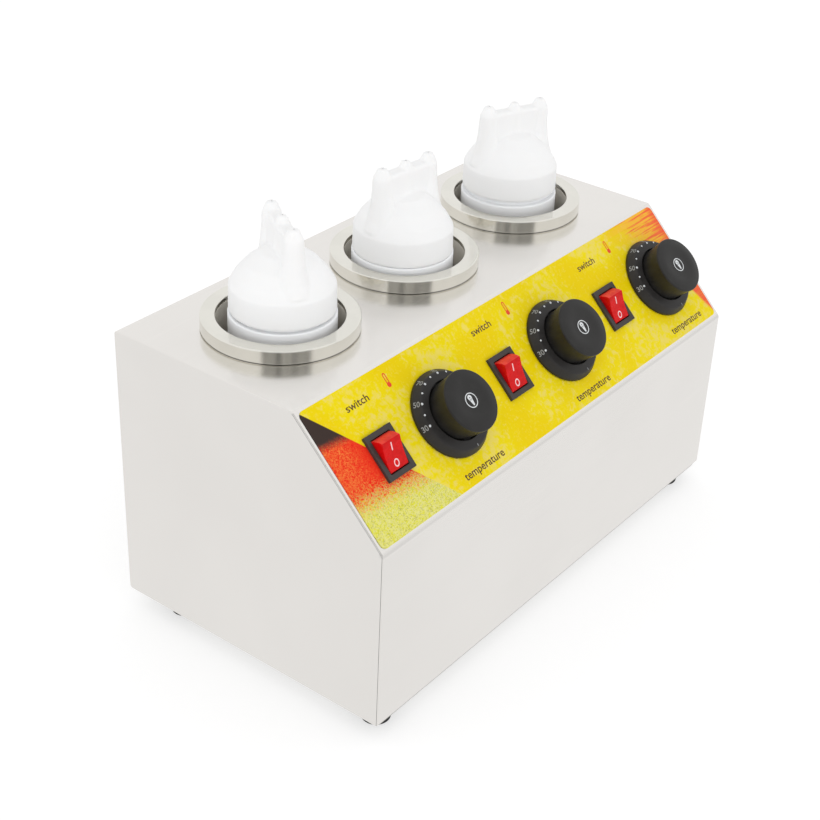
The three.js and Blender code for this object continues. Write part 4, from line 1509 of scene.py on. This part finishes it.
    def mark(self, i: int, name: str, mark: Mark) -> None:
        """Build one filled-in mark on a rocker.

        Args:
            i: The station's number.
            name: The station's name.
            mark: Which mark.
        """
        crown = math.radians(self.crown)
        rise = self.radius() * math.sin(crown) - self.valley
        lean = math.atan2(rise, self.radius() * math.cos(crown))
        side = 1 if mark is Mark.STROKE else -1
        height = self.valley + self.mark_place * math.tan(lean) + 0.01
        spot = Matrix.Translation((self.mark_shift, side * self.mark_place, height))
        spot = self.level(i) @ spot @ Matrix.Rotation(side * lean, 4, "X")
        low, high = -self.mark_sink, self.mark_proud
        if mark is Mark.STROKE:
            shape = Shape().rise(rectangle(self.mark_line * 1.1, self.mark_length, 0.2), low, high)
        else:
            outer = self.mark_length / 2
            shape = Shape().turn(flat_ring(outer - self.mark_line, outer, low, high), 48)
            shape.move(Matrix.Diagonal((self.mark_width / self.mark_length, 1, 1, 1)))
        made = self.bench.object(f"rocker_{mark.value}_{name}", shape, self.mark_finish, spot)
        self.bench.shade(made)
        self.bench.seat(made, f"rocker_{name}")

    def build(self) -> None:
        """Build all switches."""
        for i, name in enumerate(STATIONS):
            self.body(i, name)
            self.rocker(i, name)


class Lettering:
    """Flat words and numbers cut from a thin film."""

    weight = 0.012

    def __init__(self, bench: Workbench) -> None:
        """Keep the bench."""
        self.bench = bench

    def word(self, name: str, text: str, width: float, height: float, finish: Finish,
             place: Matrix) -> Piece:
        """Build a word fitted to a width and a height.

        Args:
            name: The piece's name.
            text: The word.
            width: Its full width.
            height: Height of the letters with no tails, measured on the letter x or a digit.
            finish: Its ink.
            place: Its frame, with the word's middle at the origin and the reading direction along X.

        Returns:
            The object.
        """
        curve = bpy.data.curves.new(name, "FONT")
        curve.body = text
        curve.align_x = "CENTER"
        curve.resolution_u = 4
        curve.offset = self.weight
        source = bpy.data.objects.new(name + "_curve", curve)
        self.bench.collection.objects.link(source)
        bpy.context.view_layer.update()
        graph = bpy.context.evaluated_depsgraph_get()
        mesh = bpy.data.meshes.new_from_object(source.evaluated_get(graph))
        bpy.data.objects.remove(source)
        xs = [v.co.x for v in mesh.vertices]
        ys = [v.co.y for v in mesh.vertices]
        middle = (max(xs) + min(xs)) / 2
        across = width / (max(xs) - min(xs))
        up = height / (max(ys) - min(ys))
        centre = (max(ys) + min(ys)) / 2
        for v in mesh.vertices:
            v.co = Vector(((v.co.x - middle) * across, (v.co.y - centre) * up, 0)) * MM
        mesh.name = name
        mesh.materials.clear()
        mesh.materials.append(finish.material())
        made = bpy.data.objects.new(name, mesh)
        self.bench.collection.objects.link(made)
        made.matrix_world = in_metres(place)
        return made


@dataclass
class Knob:
    """A thermostat's dial ring with its scale and the grip that turns in it."""

    bench: Workbench
    front: Frontage
    dial_finish: Finish = MouldedPlastic(srgb(39, 37, 36), 0.44)
    grip_finish: Finish = MouldedPlastic(srgb(34, 33, 32), 0.4)
    mark_finish: Finish = Ink(srgb(225, 228, 230), 0.5)
    number_finish: Finish = Ink(srgb(150, 152, 154), 0.5)
    seat_height: float = 0.45
    dial_radius: float = 29.5
    dial_height: float = 8.2
    wall_height: float = 2.3
    shoulder_radius: float = 26.5
    shoulder_drop: float = 1.0
    dial_edge: float = 0.5
    foot_step: float = 0.6
    bush_clearance: float = 5.0
    recess_radius: float = 20.5
    recess: float = 5.0
    grip_lift: float = 0.6
    grip_base: float = 18.9
    grip_top: float = 20.8
    top: float = 24.4
    edge: float = 1.7
    crown: float = 0.7
    face_shares: tuple[tuple[float, float], ...] = (
        (0.97, 0.3), (0.88, 0.75), (0.76, 0.98), (0.64, 0.9), (0.52, 0.6), (0.42, 0.36), (0.32, 0.3),
        (0.0, 0.3))
    badge_share: float = 0.3
    badge: float = 5.0
    badge_shift: float = -0.5
    badge_line: float = 0.62
    badge_proud: float = 0.05
    head_hole: float = 0.42
    head_radius: float = 1.8
    wall: float = 2.4
    boss: float = 6.0
    socket: float = 3.3
    shaft_lift: float = 17.3
    pointer_width: float = 1.2
    pointer_reach: float = 0.7
    off_angle: float = 178.5
    first_number: int = 30
    first_angle: float = -89.5
    angle_per_ten: float = 16.4
    number_count: int = 9
    dot_radius: float = 25.6
    dot_sizes: tuple[float, float] = (0.66, 0.8)
    tick: tuple[float, float] = (0.55, 1.7)
    mark_sink: float = 0.3
    mark_proud: float = 0.1
    number_size: tuple[float, float] = (4.3, 3.7)
    film: float = 0.04
    sides: int = 96

    def around(self, angle: float, radius: float, lift: float) -> Matrix:
        """Return a frame on the dial, its Y pointing outward.

        Args:
            angle: Degrees clockwise from the top.
            radius: Distance from the middle.
            lift: Height over the sheet.

        Returns:
            The frame in the knob's own frame.
        """
        return Matrix.Rotation(-math.radians(angle), 4, "Z") @ Matrix.Translation((0, radius, lift))

    def scale(self) -> Iterable[tuple[int, float]]:
        """Return each number of the scale and its angle from the top."""
        for k in range(self.number_count):
            yield self.first_number + 10 * k, self.first_angle + self.angle_per_ten * k

    def numbered(self, value: int) -> bool:
        """Tell whether a value of the scale has its number printed."""
        return value % 20 == 10

    def skirt(self) -> tuple[float, float, float, float]:
        """Return the radius and height at the foot and at the shoulder of the dial's sloped face."""
        low = self.seat_height
        shoulder = low + self.dial_height - self.shoulder_drop
        return self.dial_radius, low + self.wall_height, self.shoulder_radius, shoulder

    def crown_at(self, radius: float) -> float:
        """Return the height of the dial's top face at a radius."""
        share = (radius - self.recess_radius) / (self.shoulder_radius - self.recess_radius)
        return self.seat_height + self.dial_height - self.shoulder_drop * share

    def dial(self, i: int, name: str) -> None:
        """Build a dial ring with its scale.

        Args:
            i: The station's number.
            name: The station's name.
        """
        low, high = self.seat_height, self.seat_height + self.dial_height
        r, foot_level, shoulder, shoulder_level = self.skirt()
        profile = rounded([
            (self.bush_clearance, low, 0), (r - self.dial_edge, low, 0), (r, low + self.foot_step, 0.3),
            (r, foot_level, 1.2), (shoulder, shoulder_level, 2.2), (self.recess_radius, high, 0.35),
            (self.recess_radius, high - self.recess, 0), (self.bush_clearance, high - self.recess, 0),
        ], 8)
        place = self.front.knob(i)
        dial = self.bench.object(f"dial_{name}", Shape().turn(profile, self.sides), self.dial_finish, place)
        self.bench.shade(dial)
        self.bench.seat(dial, CASE, "black_plastic", f"dial_ring_{name}")
        fall = math.atan2(self.shoulder_drop, self.shoulder_radius - self.recess_radius)
        lean = Matrix.Rotation(-fall, 4, "X")
        level = self.crown_at(self.dot_radius)
        marks = Shape()
        for value, angle in self.scale():
            outline = circle(self.dot_sizes[self.numbered(value)], 20)
            dot = Shape().rise(outline, -self.mark_sink, self.mark_proud)
            marks.add(dot, self.around(angle, self.dot_radius, level) @ lean)
        dots = self.bench.object(f"dial_dots_{name}", marks, self.mark_finish, place)
        self.bench.seat(dots, CASE)
        tick = Shape().rise(rectangle(*self.tick, 0.2), -self.mark_sink, self.mark_proud)
        tick.move(self.around(self.off_angle, self.dot_radius, level) @ lean)
        self.bench.seat(self.bench.object(f"dial_off_mark_{name}", tick, self.number_finish, place), CASE)
        for value, angle in self.scale():
            if self.numbered(value):
                self.number(value, angle, place, name)

    def number(self, value: int, angle: float, place: Matrix, name: str) -> None:
        """Lay a number on the dial's sloped face, reading towards the knob's middle.

        Args:
            value: The number.
            angle: Its angle from the top in degrees.
            place: The knob's frame.
            name: The station's name.
        """
        foot, foot_level, shoulder, shoulder_level = self.skirt()
        wide, tall = self.number_size
        steep = math.atan2(shoulder_level - foot_level, foot - shoulder)
        middle = ((foot + shoulder) / 2, (foot_level + shoulder_level) / 2)
        long = wide * (1.3 if value > 99 else 1.0)
        made = Lettering(self.bench).word(f"dial_number_{value}_{name}", str(value), long, tall,
                                          self.number_finish, place)
        for v in made.data.vertices:
            along, across = v.co.x / MM, v.co.y / MM
            radius = middle[0] - along * math.cos(steep) + self.film * math.sin(steep)
            lift = middle[1] + along * math.sin(steep) + self.film * math.cos(steep)
            turn = -math.radians(angle) - across / radius
            v.co = Vector((-radius * math.sin(turn), radius * math.cos(turn), lift)) * MM
        self.bench.seat(made, CASE)

    def grip(self, i: int, name: str) -> None:
        """Build a grip with its pointer and pictogram.

        Args:
            i: The station's number.
            name: The station's name.
        """
        low = self.seat_height + self.dial_height - self.recess + self.grip_lift
        ceiling = self.top - self.wall
        wide, inner = self.grip_top - self.edge, self.grip_base - self.wall
        crown = [(wide * share, self.top + self.crown * rise, 0) for share, rise in self.face_shares]
        profile = rounded([
            (0, low, 0), (self.boss, low, 0.3), (self.boss, ceiling, 0.6), (inner, ceiling, 0.8),
            (inner, low, 0.3), (self.grip_base, low, 0.5), (self.grip_top, self.top - 0.1, self.edge), *crown,
        ], 6)
        place = self.front.knob(i)
        body = f"knob_{name}"
        grip = self.bench.object(f"grip_{name}", Shape().turn(profile, self.sides), self.grip_finish, place)
        reach = self.grip_top + self.pointer_reach
        fin = Shape().rise(rectangle(self.pointer_width, reach, 0.3, 3, 0, reach / 2), ceiling - 2.4,
                           self.top - 2.0, 0.4)
        fin.move(Matrix.Rotation(-math.radians(self.off_angle), 4, "Z"))
        self.bench.carve(grip, [self.bench.object("fin", fin, self.grip_finish, place)], join=True)
        socket = Shape().rise(circle(self.socket, 32), low - 2, self.shaft_lift)
        self.bench.carve(grip, [self.bench.object("socket", socket, self.grip_finish, place)])
        self.bench.shade(grip)
        self.bench.seat(grip, body, "black_plastic", f"knob_{name}")
        self.pictogram(place, body, name)

    def pictogram(self, place: Matrix, body: str, name: str) -> None:
        """Build the small sign in a ring on a grip's face, and the mark at its rim.

        Args:
            place: The knob's frame.
            body: The body that it rides on.
            name: The station's name.
        """
        face = self.top + self.crown * self.badge_share
        low, high = face - 0.2, face + self.badge_proud
        sign = Shape().turn(flat_ring(self.badge - self.badge_line, self.badge, face - 0.25, high), 64)
        head = Shape().turn(flat_ring(self.head_hole, self.head_radius, low, high), 40)
        sign.add(head, Matrix.Translation((-0.2, 1.9, 0)))
        stem = rounded([(-0.3, -3.6, 0.3), (0.8, -3.4, 0.3), (1.35, 0.9, 0), (-1.55, 0.9, 0)], 4)
        sign.add(Shape().rise(stem, low, high))
        sign.move(Matrix.Translation((self.badge_shift, 0, 0)))
        badge = self.bench.object(f"grip_pictogram_{name}", sign, self.mark_finish, place)
        self.bench.seat(badge, body)
        outline = rectangle(0.4, 1.1, 0.18, 3, 0, self.grip_top - 2.4)
        dash = Shape().rise(outline, self.top - 0.5, self.top + 0.14)
        dash.move(Matrix.Rotation(-math.radians(self.off_angle), 4, "Z"))
        mark = self.bench.object(f"grip_mark_{name}", dash, self.number_finish, place)
        self.bench.seat(mark, body)

    def build(self) -> None:
        """Build all knobs."""
        for i, name in enumerate(STATIONS):
            self.dial(i, name)
            self.grip(i, name)


@dataclass
class PanelPrint:
    """The plain words and thermometers printed on the panel's film."""

    bench: Workbench
    front: Frontage
    word_finish: Finish = Ink(srgb(92, 62, 24), 0.5)
    sign_finish: Finish = Ink(srgb(238, 72, 14), 0.5)
    lift: float = 0.38
    switch_down: float = 14.7
    switch_width: float = 20.6
    switch_height: float = 5.0
    temperature_down: float = 89.8
    temperature_shift: float = 3.8
    temperature_width: float = 40.6
    temperature_height: float = 6.0
    sign_shift: float = 2.5
    sign_top: float = 7.2
    sign_foot: float = 16.8
    sign_bulb: float = 1.7
    sign_half_width: float = 1.35
    sign_line: float = 0.75

    def thermometer(self) -> Shape:
        """Return the outline of a thermometer with a filled bulb, its middle at the origin."""
        half = (self.sign_foot - self.sign_top) / 2
        bulb, wide, line = self.sign_bulb, self.sign_half_width, self.sign_line
        foot = -half + bulb
        tubes = [rounded([(-w, foot, 0), (w, foot, 0), (w, top, w), (-w, top, w)], 5)
                 for w, top in ((wide, half), (wide - line, half - line))]
        shape = Shape()
        rims = [[shape.bm.verts.new((*p, 0)) for p in outline] for outline in tubes]
        count = len(tubes[0])
        for k in range(1, count):
            shape.bm.faces.new((rims[0][k], rims[0][(k + 1) % count], rims[1][(k + 1) % count], rims[1][k]))
        shape.add(Shape().rise(circle(bulb, 28, 0, -half + bulb * 0.9), -0.01, 0.012))
        return shape

    def build(self) -> None:
        """Build the print of all stations."""
        f, lettering = self.front, Lettering(self.bench)
        for i, name in enumerate(STATIONS):
            x = f.stations[i]
            words = (("switch", self.switch_width, self.switch_height, f.switch_offset, self.switch_down),
                     ("temperature", self.temperature_width, self.temperature_height,
                      f.knob_offset + self.temperature_shift, self.temperature_down))
            for text, wide, tall, shift, down in words:
                place = f.on_slope(x + shift, down, self.lift)
                word = lettering.word(f"print_{text}_{name}", text, wide, tall, self.word_finish, place)
                self.bench.seat(word, CASE)
            middle = (self.sign_top + self.sign_foot) / 2
            sign = self.bench.object(f"print_thermometer_{name}", self.thermometer(), self.sign_finish,
                                     f.on_slope(x + self.sign_shift, middle, self.lift))
            self.bench.seat(sign, CASE)


@dataclass
class Fixings:
    """Rubber feet, pan-head screws with cross recesses and the cord gland."""

    bench: Workbench
    frame: dict
    rubber: Finish = BlackRubber()
    zinc: Finish = DullSteel(srgb(186, 184, 178), 0.36)
    black: Finish = MouldedPlastic(srgb(44, 43, 42), 0.5)
    head_height: float = 2.2
    head_radius: float = 3.5
    shank_radius: float = 1.8
    cross_length: float = 3.4
    cross_width: float = 0.8
    cross_depth: float = 1.3
    foot_bore: float = 2.3
    foot_pocket: float = 5.2
    foot_sole: float = 9.6
    foot_waist: float = 10.3
    foot_collar: float = 10.9
    gland_inner: float = 11.0
    gland_thread: float = 7.4
    gland_cap: float = 8.8
    gland_flange: float = 10.9
    gland_bore: float = 4.2
    flutes: int = 12
    flute_ring: float = 9.3
    flute_radius: float = 0.9

    def feet(self) -> None:
        """Build the feet, each where its node is."""
        for end in ("front", "rear"):
            for side in ("left", "right"):
                low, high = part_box(f"foot_{end}_{side}")
                middle = (low + high) / 2 / MM
                tall = (high.z - low.z) / MM
                bore, pocket, collar = self.foot_bore, self.foot_pocket, self.foot_collar
                profile = rounded([
                    (bore, tall, 0), (bore, 5, 0), (pocket, 5, 0.4), (pocket, 0, 0.4),
                    (self.foot_sole, 0, 1.2), (self.foot_waist, tall * 0.55, 1),
                    (collar, tall * 0.6, 0.5), (collar, tall, 0),
                ], 5)
                foot = self.bench.object(f"rubber_foot_{end}_{side}", Shape().turn(profile, 64), self.rubber,
                                         Matrix.Translation((middle.x, middle.y, low.z / MM)))
                self.bench.shade(foot)
                self.bench.seat(foot, CASE, "rubber", f"foot_{end}_{side}")

    def screw(self, node: str, turn: Matrix) -> None:
        """Build a screw where a node is.

        Args:
            node: The node.
            turn: The turn that brings +Z into the direction of the shank.
        """
        low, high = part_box(node)
        middle = (low + high) / 2 / MM
        axis = turn.to_3x3() @ Vector((0, 0, 1))
        length = sum(abs(a) * s for a, s in zip(axis, (high - low) / MM))
        start = middle - axis * length / 2
        h, r, s = self.head_height, self.head_radius, self.shank_radius
        profile = rounded([
            (0, 0, 0), (r - 0.9, 0.05, 0.8), (r, h * 0.55, 0.6), (r, h, 0), (s, h, 0), (s, length - 1, 0),
            (0, length, 0),
        ], 5)
        place = Matrix.Translation(start) @ turn
        made = self.bench.object(f"cross_{node}", Shape().turn(profile, 40), self.zinc, place)
        tools = []
        for wide, long in ((self.cross_length, self.cross_width), (self.cross_width, self.cross_length)):
            slot = Shape().rise(rectangle(wide, long, 0.2), -1, self.cross_depth)
            tools.append(self.bench.object("slot", slot, self.zinc, place))
        self.bench.carve(made, tools)
        self.bench.shade(made)
        self.bench.seat(made, CASE, "zinc", node)

    def screws(self) -> None:
        """Build every screw."""
        up = Matrix.Identity(4)
        into = Matrix.Rotation(math.pi / 2, 4, "X")
        for node in sorted(self.frame["nodes"]):
            if node.startswith(("base_screw", "foot_screw")):
                self.screw(node, up)
            elif node.startswith("rear_screw"):
                self.screw(node, into)

    def gland(self) -> None:
        """Build the cord gland with a fluted cap on a six-sided flange."""
        low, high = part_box("cord_gland")
        middle = (low + high) / 2 / MM
        long = (high.y - low.y) / MM
        inner, thread, cap = self.gland_inner, self.gland_thread, self.gland_cap
        place = Matrix.Translation((middle.x, low.y / MM, middle.z)) @ Matrix.Rotation(-math.pi / 2, 4, "X")

        def part(kind: str, shape: Shape) -> Piece:
            """Return an object in the gland's frame."""
            return self.bench.object(kind, shape, self.black, place)

        flange = circle(self.gland_flange, 6)
        made = part("gland", Shape().rise(flange, inner + 0.3, inner + 4.8, 0.6, 4, 0.2))
        profile = rounded([
            (0, 0, 0), (thread, 0, 0.4), (thread, inner + 2, 0), (cap, inner + 2, 0), (cap, long - 3, 1.5),
            (cap - 2, long, 1.2), (0, long, 0),
        ], 5)
        self.bench.carve(made, [part("cap", Shape().turn(profile, 72))], join=True)
        tools = [part("bore", Shape().rise(circle(self.gland_bore, 40), -2, long + 2))]
        for x, y in circle(self.flute_ring, self.flutes):
            flute = Shape().rise(circle(self.flute_radius, 16, x, y), inner + 5.4, long + 1)
            tools.append(part("flute", flute))
        self.bench.carve(made, tools)
        self.bench.shade(made)
        self.bench.seat(made, CASE, "black_plastic", "cord_gland")

    def build(self) -> None:
        """Build all fixings."""
        self.feet()
        self.screws()
        self.gland()


@dataclass
class Stage:
    """Floor, light and camera."""

    bench: Workbench
    eye: tuple[float, float, float] = (-0.80407, -0.58027, 0.70511)
    azimuth: float = -53.3752
    elevation: float = 31.2156
    roll: float = 2.5126
    lens: float = 71.69
    sensor: float = 36.0
    surround: float = 0.88
    horizon: float = 1.35
    zenith_at: float = 0.6
    mirrored: float = 0.95
    mirrored_floor: float = 0.92
    floor_glow: float = 0.58
    floor_size: float = 12.0
    card_azimuth: float = -43.0
    card_tones: tuple[float, float] = (0.12, 0.5)
    card_distance: float = 1500.0
    card_half_angle: float = 34.0
    card_span: tuple[float, float] = (520.0, 1500.0)
    near_clip: float = 0.05
    floor_tone: float = 0.5
    bounce_tone: float = 0.9
    aim_height: float = 0.15

    def camera(self) -> None:
        """Place the camera at the picture's view."""
        az, el, roll = (math.radians(a) for a in (self.azimuth, self.elevation, self.roll))
        back = Vector((math.sin(az) * math.cos(el), -math.cos(az) * math.cos(el), math.sin(el)))
        level = Vector((math.cos(az), math.sin(az), 0))
        upright = back.cross(level)
        right = math.cos(roll) * level + math.sin(roll) * upright
        up = math.cos(roll) * upright - math.sin(roll) * level
        data = bpy.data.cameras.new("camera")
        data.sensor_width = self.sensor
        data.lens = self.lens
        data.clip_start = self.near_clip
        view = bpy.data.objects.new("camera", data)
        self.bench.collection.objects.link(view)
        turn = Matrix((right, up, back)).transposed().to_4x4()
        view.matrix_world = Matrix.Translation(self.eye) @ turn
        bpy.context.scene.camera = view

    def world(self) -> None:
        """Set a white surround that lights the object most from its horizon."""
        world = bpy.data.worlds.new("surround")
        bpy.context.scene.world = world
        world.use_nodes = True
        tree = world.node_tree
        tree.nodes.clear()
        out = tree.nodes.new("ShaderNodeOutputWorld")
        path = tree.nodes.new("ShaderNodeLightPath")
        light = tree.nodes.new("ShaderNodeBackground")
        light.inputs["Color"].default_value = (1, 1, 1, 1)
        coords = tree.nodes.new("ShaderNodeTexCoord")
        split = tree.nodes.new("ShaderNodeSeparateXYZ")
        rise = tree.nodes.new("ShaderNodeMapRange")
        rise.interpolation_type = "SMOOTHSTEP"
        rise.inputs["From Max"].default_value = self.zenith_at
        rise.inputs["To Min"].default_value = self.horizon
        rise.inputs["To Max"].default_value = self.surround
        tree.links.new(coords.outputs["Generated"], split.inputs[0])
        tree.links.new(split.outputs["Z"], rise.inputs["Value"])
        tree.links.new(rise.outputs["Result"], light.inputs["Strength"])
        white = tree.nodes.new("ShaderNodeBackground")
        white.inputs["Color"].default_value = (1, 1, 1, 1)
        bright = tree.nodes.new("ShaderNodeMapRange")
        bright.inputs["To Min"].default_value = self.mirrored
        tree.links.new(path.outputs["Is Camera Ray"], bright.inputs["Value"])
        tree.links.new(bright.outputs["Result"], white.inputs["Strength"])
        seen = tree.nodes.new("ShaderNodeMath")
        seen.operation = "MAXIMUM"
        tree.links.new(path.outputs["Is Camera Ray"], seen.inputs[0])
        tree.links.new(path.outputs["Is Glossy Ray"], seen.inputs[1])
        mix = tree.nodes.new("ShaderNodeMixShader")
        tree.links.new(seen.outputs[0], mix.inputs[0])
        tree.links.new(light.outputs[0], mix.inputs[1])
        tree.links.new(white.outputs[0], mix.inputs[2])
        tree.links.new(mix.outputs[0], out.inputs["Surface"])

    def floor(self) -> None:
        """Lay a white floor that keeps the shadow."""
        material = bpy.data.materials.new("floor_white")
        material.use_nodes = True
        tree = material.node_tree
        tree.nodes.clear()
        out = tree.nodes.new("ShaderNodeOutputMaterial")
        matt = tree.nodes.new("ShaderNodeBsdfDiffuse")
        matt.inputs["Color"].default_value = (*[self.floor_tone] * 3, 1)
        glow = tree.nodes.new("ShaderNodeEmission")
        glow.inputs["Strength"].default_value = self.floor_glow
        both = tree.nodes.new("ShaderNodeAddShader")
        tree.links.new(matt.outputs[0], both.inputs[0])
        tree.links.new(glow.outputs[0], both.inputs[1])
        bounce = tree.nodes.new("ShaderNodeBsdfDiffuse")
        bounce.inputs["Color"].default_value = (*[self.bounce_tone] * 3, 1)
        shine = tree.nodes.new("ShaderNodeEmission")
        shine.inputs["Strength"].default_value = self.mirrored_floor
        path = tree.nodes.new("ShaderNodeLightPath")
        glossy = tree.nodes.new("ShaderNodeMixShader")
        tree.links.new(path.outputs["Is Glossy Ray"], glossy.inputs[0])
        tree.links.new(bounce.outputs[0], glossy.inputs[1])
        tree.links.new(shine.outputs[0], glossy.inputs[2])
        mix = tree.nodes.new("ShaderNodeMixShader")
        tree.links.new(path.outputs["Is Camera Ray"], mix.inputs[0])
        tree.links.new(glossy.outputs[0], mix.inputs[1])
        tree.links.new(both.outputs[0], mix.inputs[2])
        tree.links.new(mix.outputs[0], out.inputs["Surface"])
        half = self.floor_size / 2 / MM
        floor = self.bench.object("floor", Shape().face((a * half, b * half, 0) for a, b in SQUARE))
        floor.data.materials.append(material)
        floor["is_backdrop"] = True

    def lamp(self, name: str, place: tuple[float, float, float], size: float, power: float) -> None:
        """Hang a soft square lamp that shines at the object.

        Args:
            name: Its name.
            place: Its place.
            size: Its side.
            power: Its power.
        """
        data = bpy.data.lights.new(name, "AREA")
        data.shape = "SQUARE"
        data.size = size
        data.energy = power
        lamp = bpy.data.objects.new(name, data)
        self.bench.collection.objects.link(lamp)
        spot = Vector(place)
        away = spot - Vector((0, 0, self.aim_height))
        lamp.matrix_world = Matrix.Translation(spot) @ away.to_track_quat("Z", "Y").to_matrix().to_4x4()
        lamp.visible_camera = False
        lamp.visible_glossy = False

    def card(self) -> None:
        """Stand a dark card behind the camera, which only reflections show."""
        az = math.radians(self.card_azimuth)
        away = Vector((math.sin(az), -math.cos(az), 0))
        side = Vector((math.cos(az), math.sin(az), 0))
        half = self.card_distance * math.tan(math.radians(self.card_half_angle))
        foot, (low, high) = away * self.card_distance, self.card_span
        spots = (foot + side * (half * a) + Vector((0, 0, high if b > 0 else low)) for a, b in SQUARE)
        made = self.bench.object("dark_card", Shape().face(spots))
        bench = NodeBench("card_dark")
        bench.set(Base_Color=(0.0, 0.0, 0.0), Specular_IOR_Level=0.0, Emission_Color=(1.0, 1.0, 0.97))
        bench.feed("Emission Strength", bench.ramp(bench.noise(4.0, 3, 0.6), 0.38, 0.62, *self.card_tones))
        made.data.materials.append(bench.material)
        for ray in ("camera", "diffuse", "shadow", "transmission", "volume_scatter"):
            setattr(made, f"visible_{ray}", False)
        made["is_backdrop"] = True

    def build(self) -> None:
        """Set up the whole stage."""
        scene = bpy.context.scene
        scene.view_settings.view_transform = "Standard"
        self.camera()
        self.world()
        self.floor()
        self.card()
        self.lamp("key", (-1.3, -0.8, 0.8), 1.2, 2.4)
        self.lamp("fill", (1.0, -1.4, 1.0), 1.6, 0.8)


def keep_nodes(bench: Workbench, frame: dict, front: Frontage) -> None:
    """Dress the CAD nodes whose shape is right.

    Args:
        bench: The workbench.
        frame: The frame.
        front: The casing's sizes.
    """
    sheet = SheetSteel(srgb(214, 211, 205), 0.34)
    bench.dress(frame, PanelFilm(front.fold_y * MM, front.top * MM, front.slope), "panel_label")
    bench.dress(frame, sheet, "rear_panel")
    bench.dress(frame, DullSteel(srgb(190, 188, 182), 0.38), "base_plate")
    bench.dress(frame, MouldedPlastic(srgb(233, 226, 210), 0.55), "terminal_block")
    bench.dress(frame, MouldedPlastic(srgb(44, 43, 42), 0.5), "gland_locknut")
    for name in STATIONS:
        bench.dress(frame, DullSteel(srgb(150, 140, 122), 0.55), f"heater_band_{name}")
        bench.dress(frame, DullSteel(srgb(196, 160, 92), 0.35), f"sensor_line_{name}")
        bench.dress(frame, MouldedPlastic(srgb(228, 222, 206), 0.55), f"thermostat_body_{name}")
        bench.dress(frame, DullSteel(srgb(190, 188, 182), 0.3), f"thermostat_shaft_{name}")


def corners(box: Iterable[Vector]) -> list[list[float]]:
    """Return a box as plain lists."""
    return [list(corner) for corner in box]


def main() -> None:
    """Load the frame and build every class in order."""
    logging.basicConfig(level=logging.INFO, format="%(message)s")
    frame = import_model()
    packed = corners(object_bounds())
    bench, front = Workbench(), Frontage()
    Stage(bench).build()
    keep_nodes(bench, frame, front)
    rear = []
    for node in sorted(frame["nodes"]):
        if node.startswith("rear_screw"):
            low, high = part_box(node)
            rear.append(((low.x + high.x) / 2 / MM, (low.z + high.z) / 2 / MM))
    Casing(bench, front, rear_screws=tuple(rear)).build()
    Well(bench, front).build()
    SqueezeBottle(bench, front).build()
    RockerSwitch(bench, front).build()
    Knob(bench, front).build()
    PanelPrint(bench, front).build()
    Fixings(bench, frame).build()
    {"packed": packed, "visual": corners(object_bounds())}


if __name__ == "__main__":
    main()
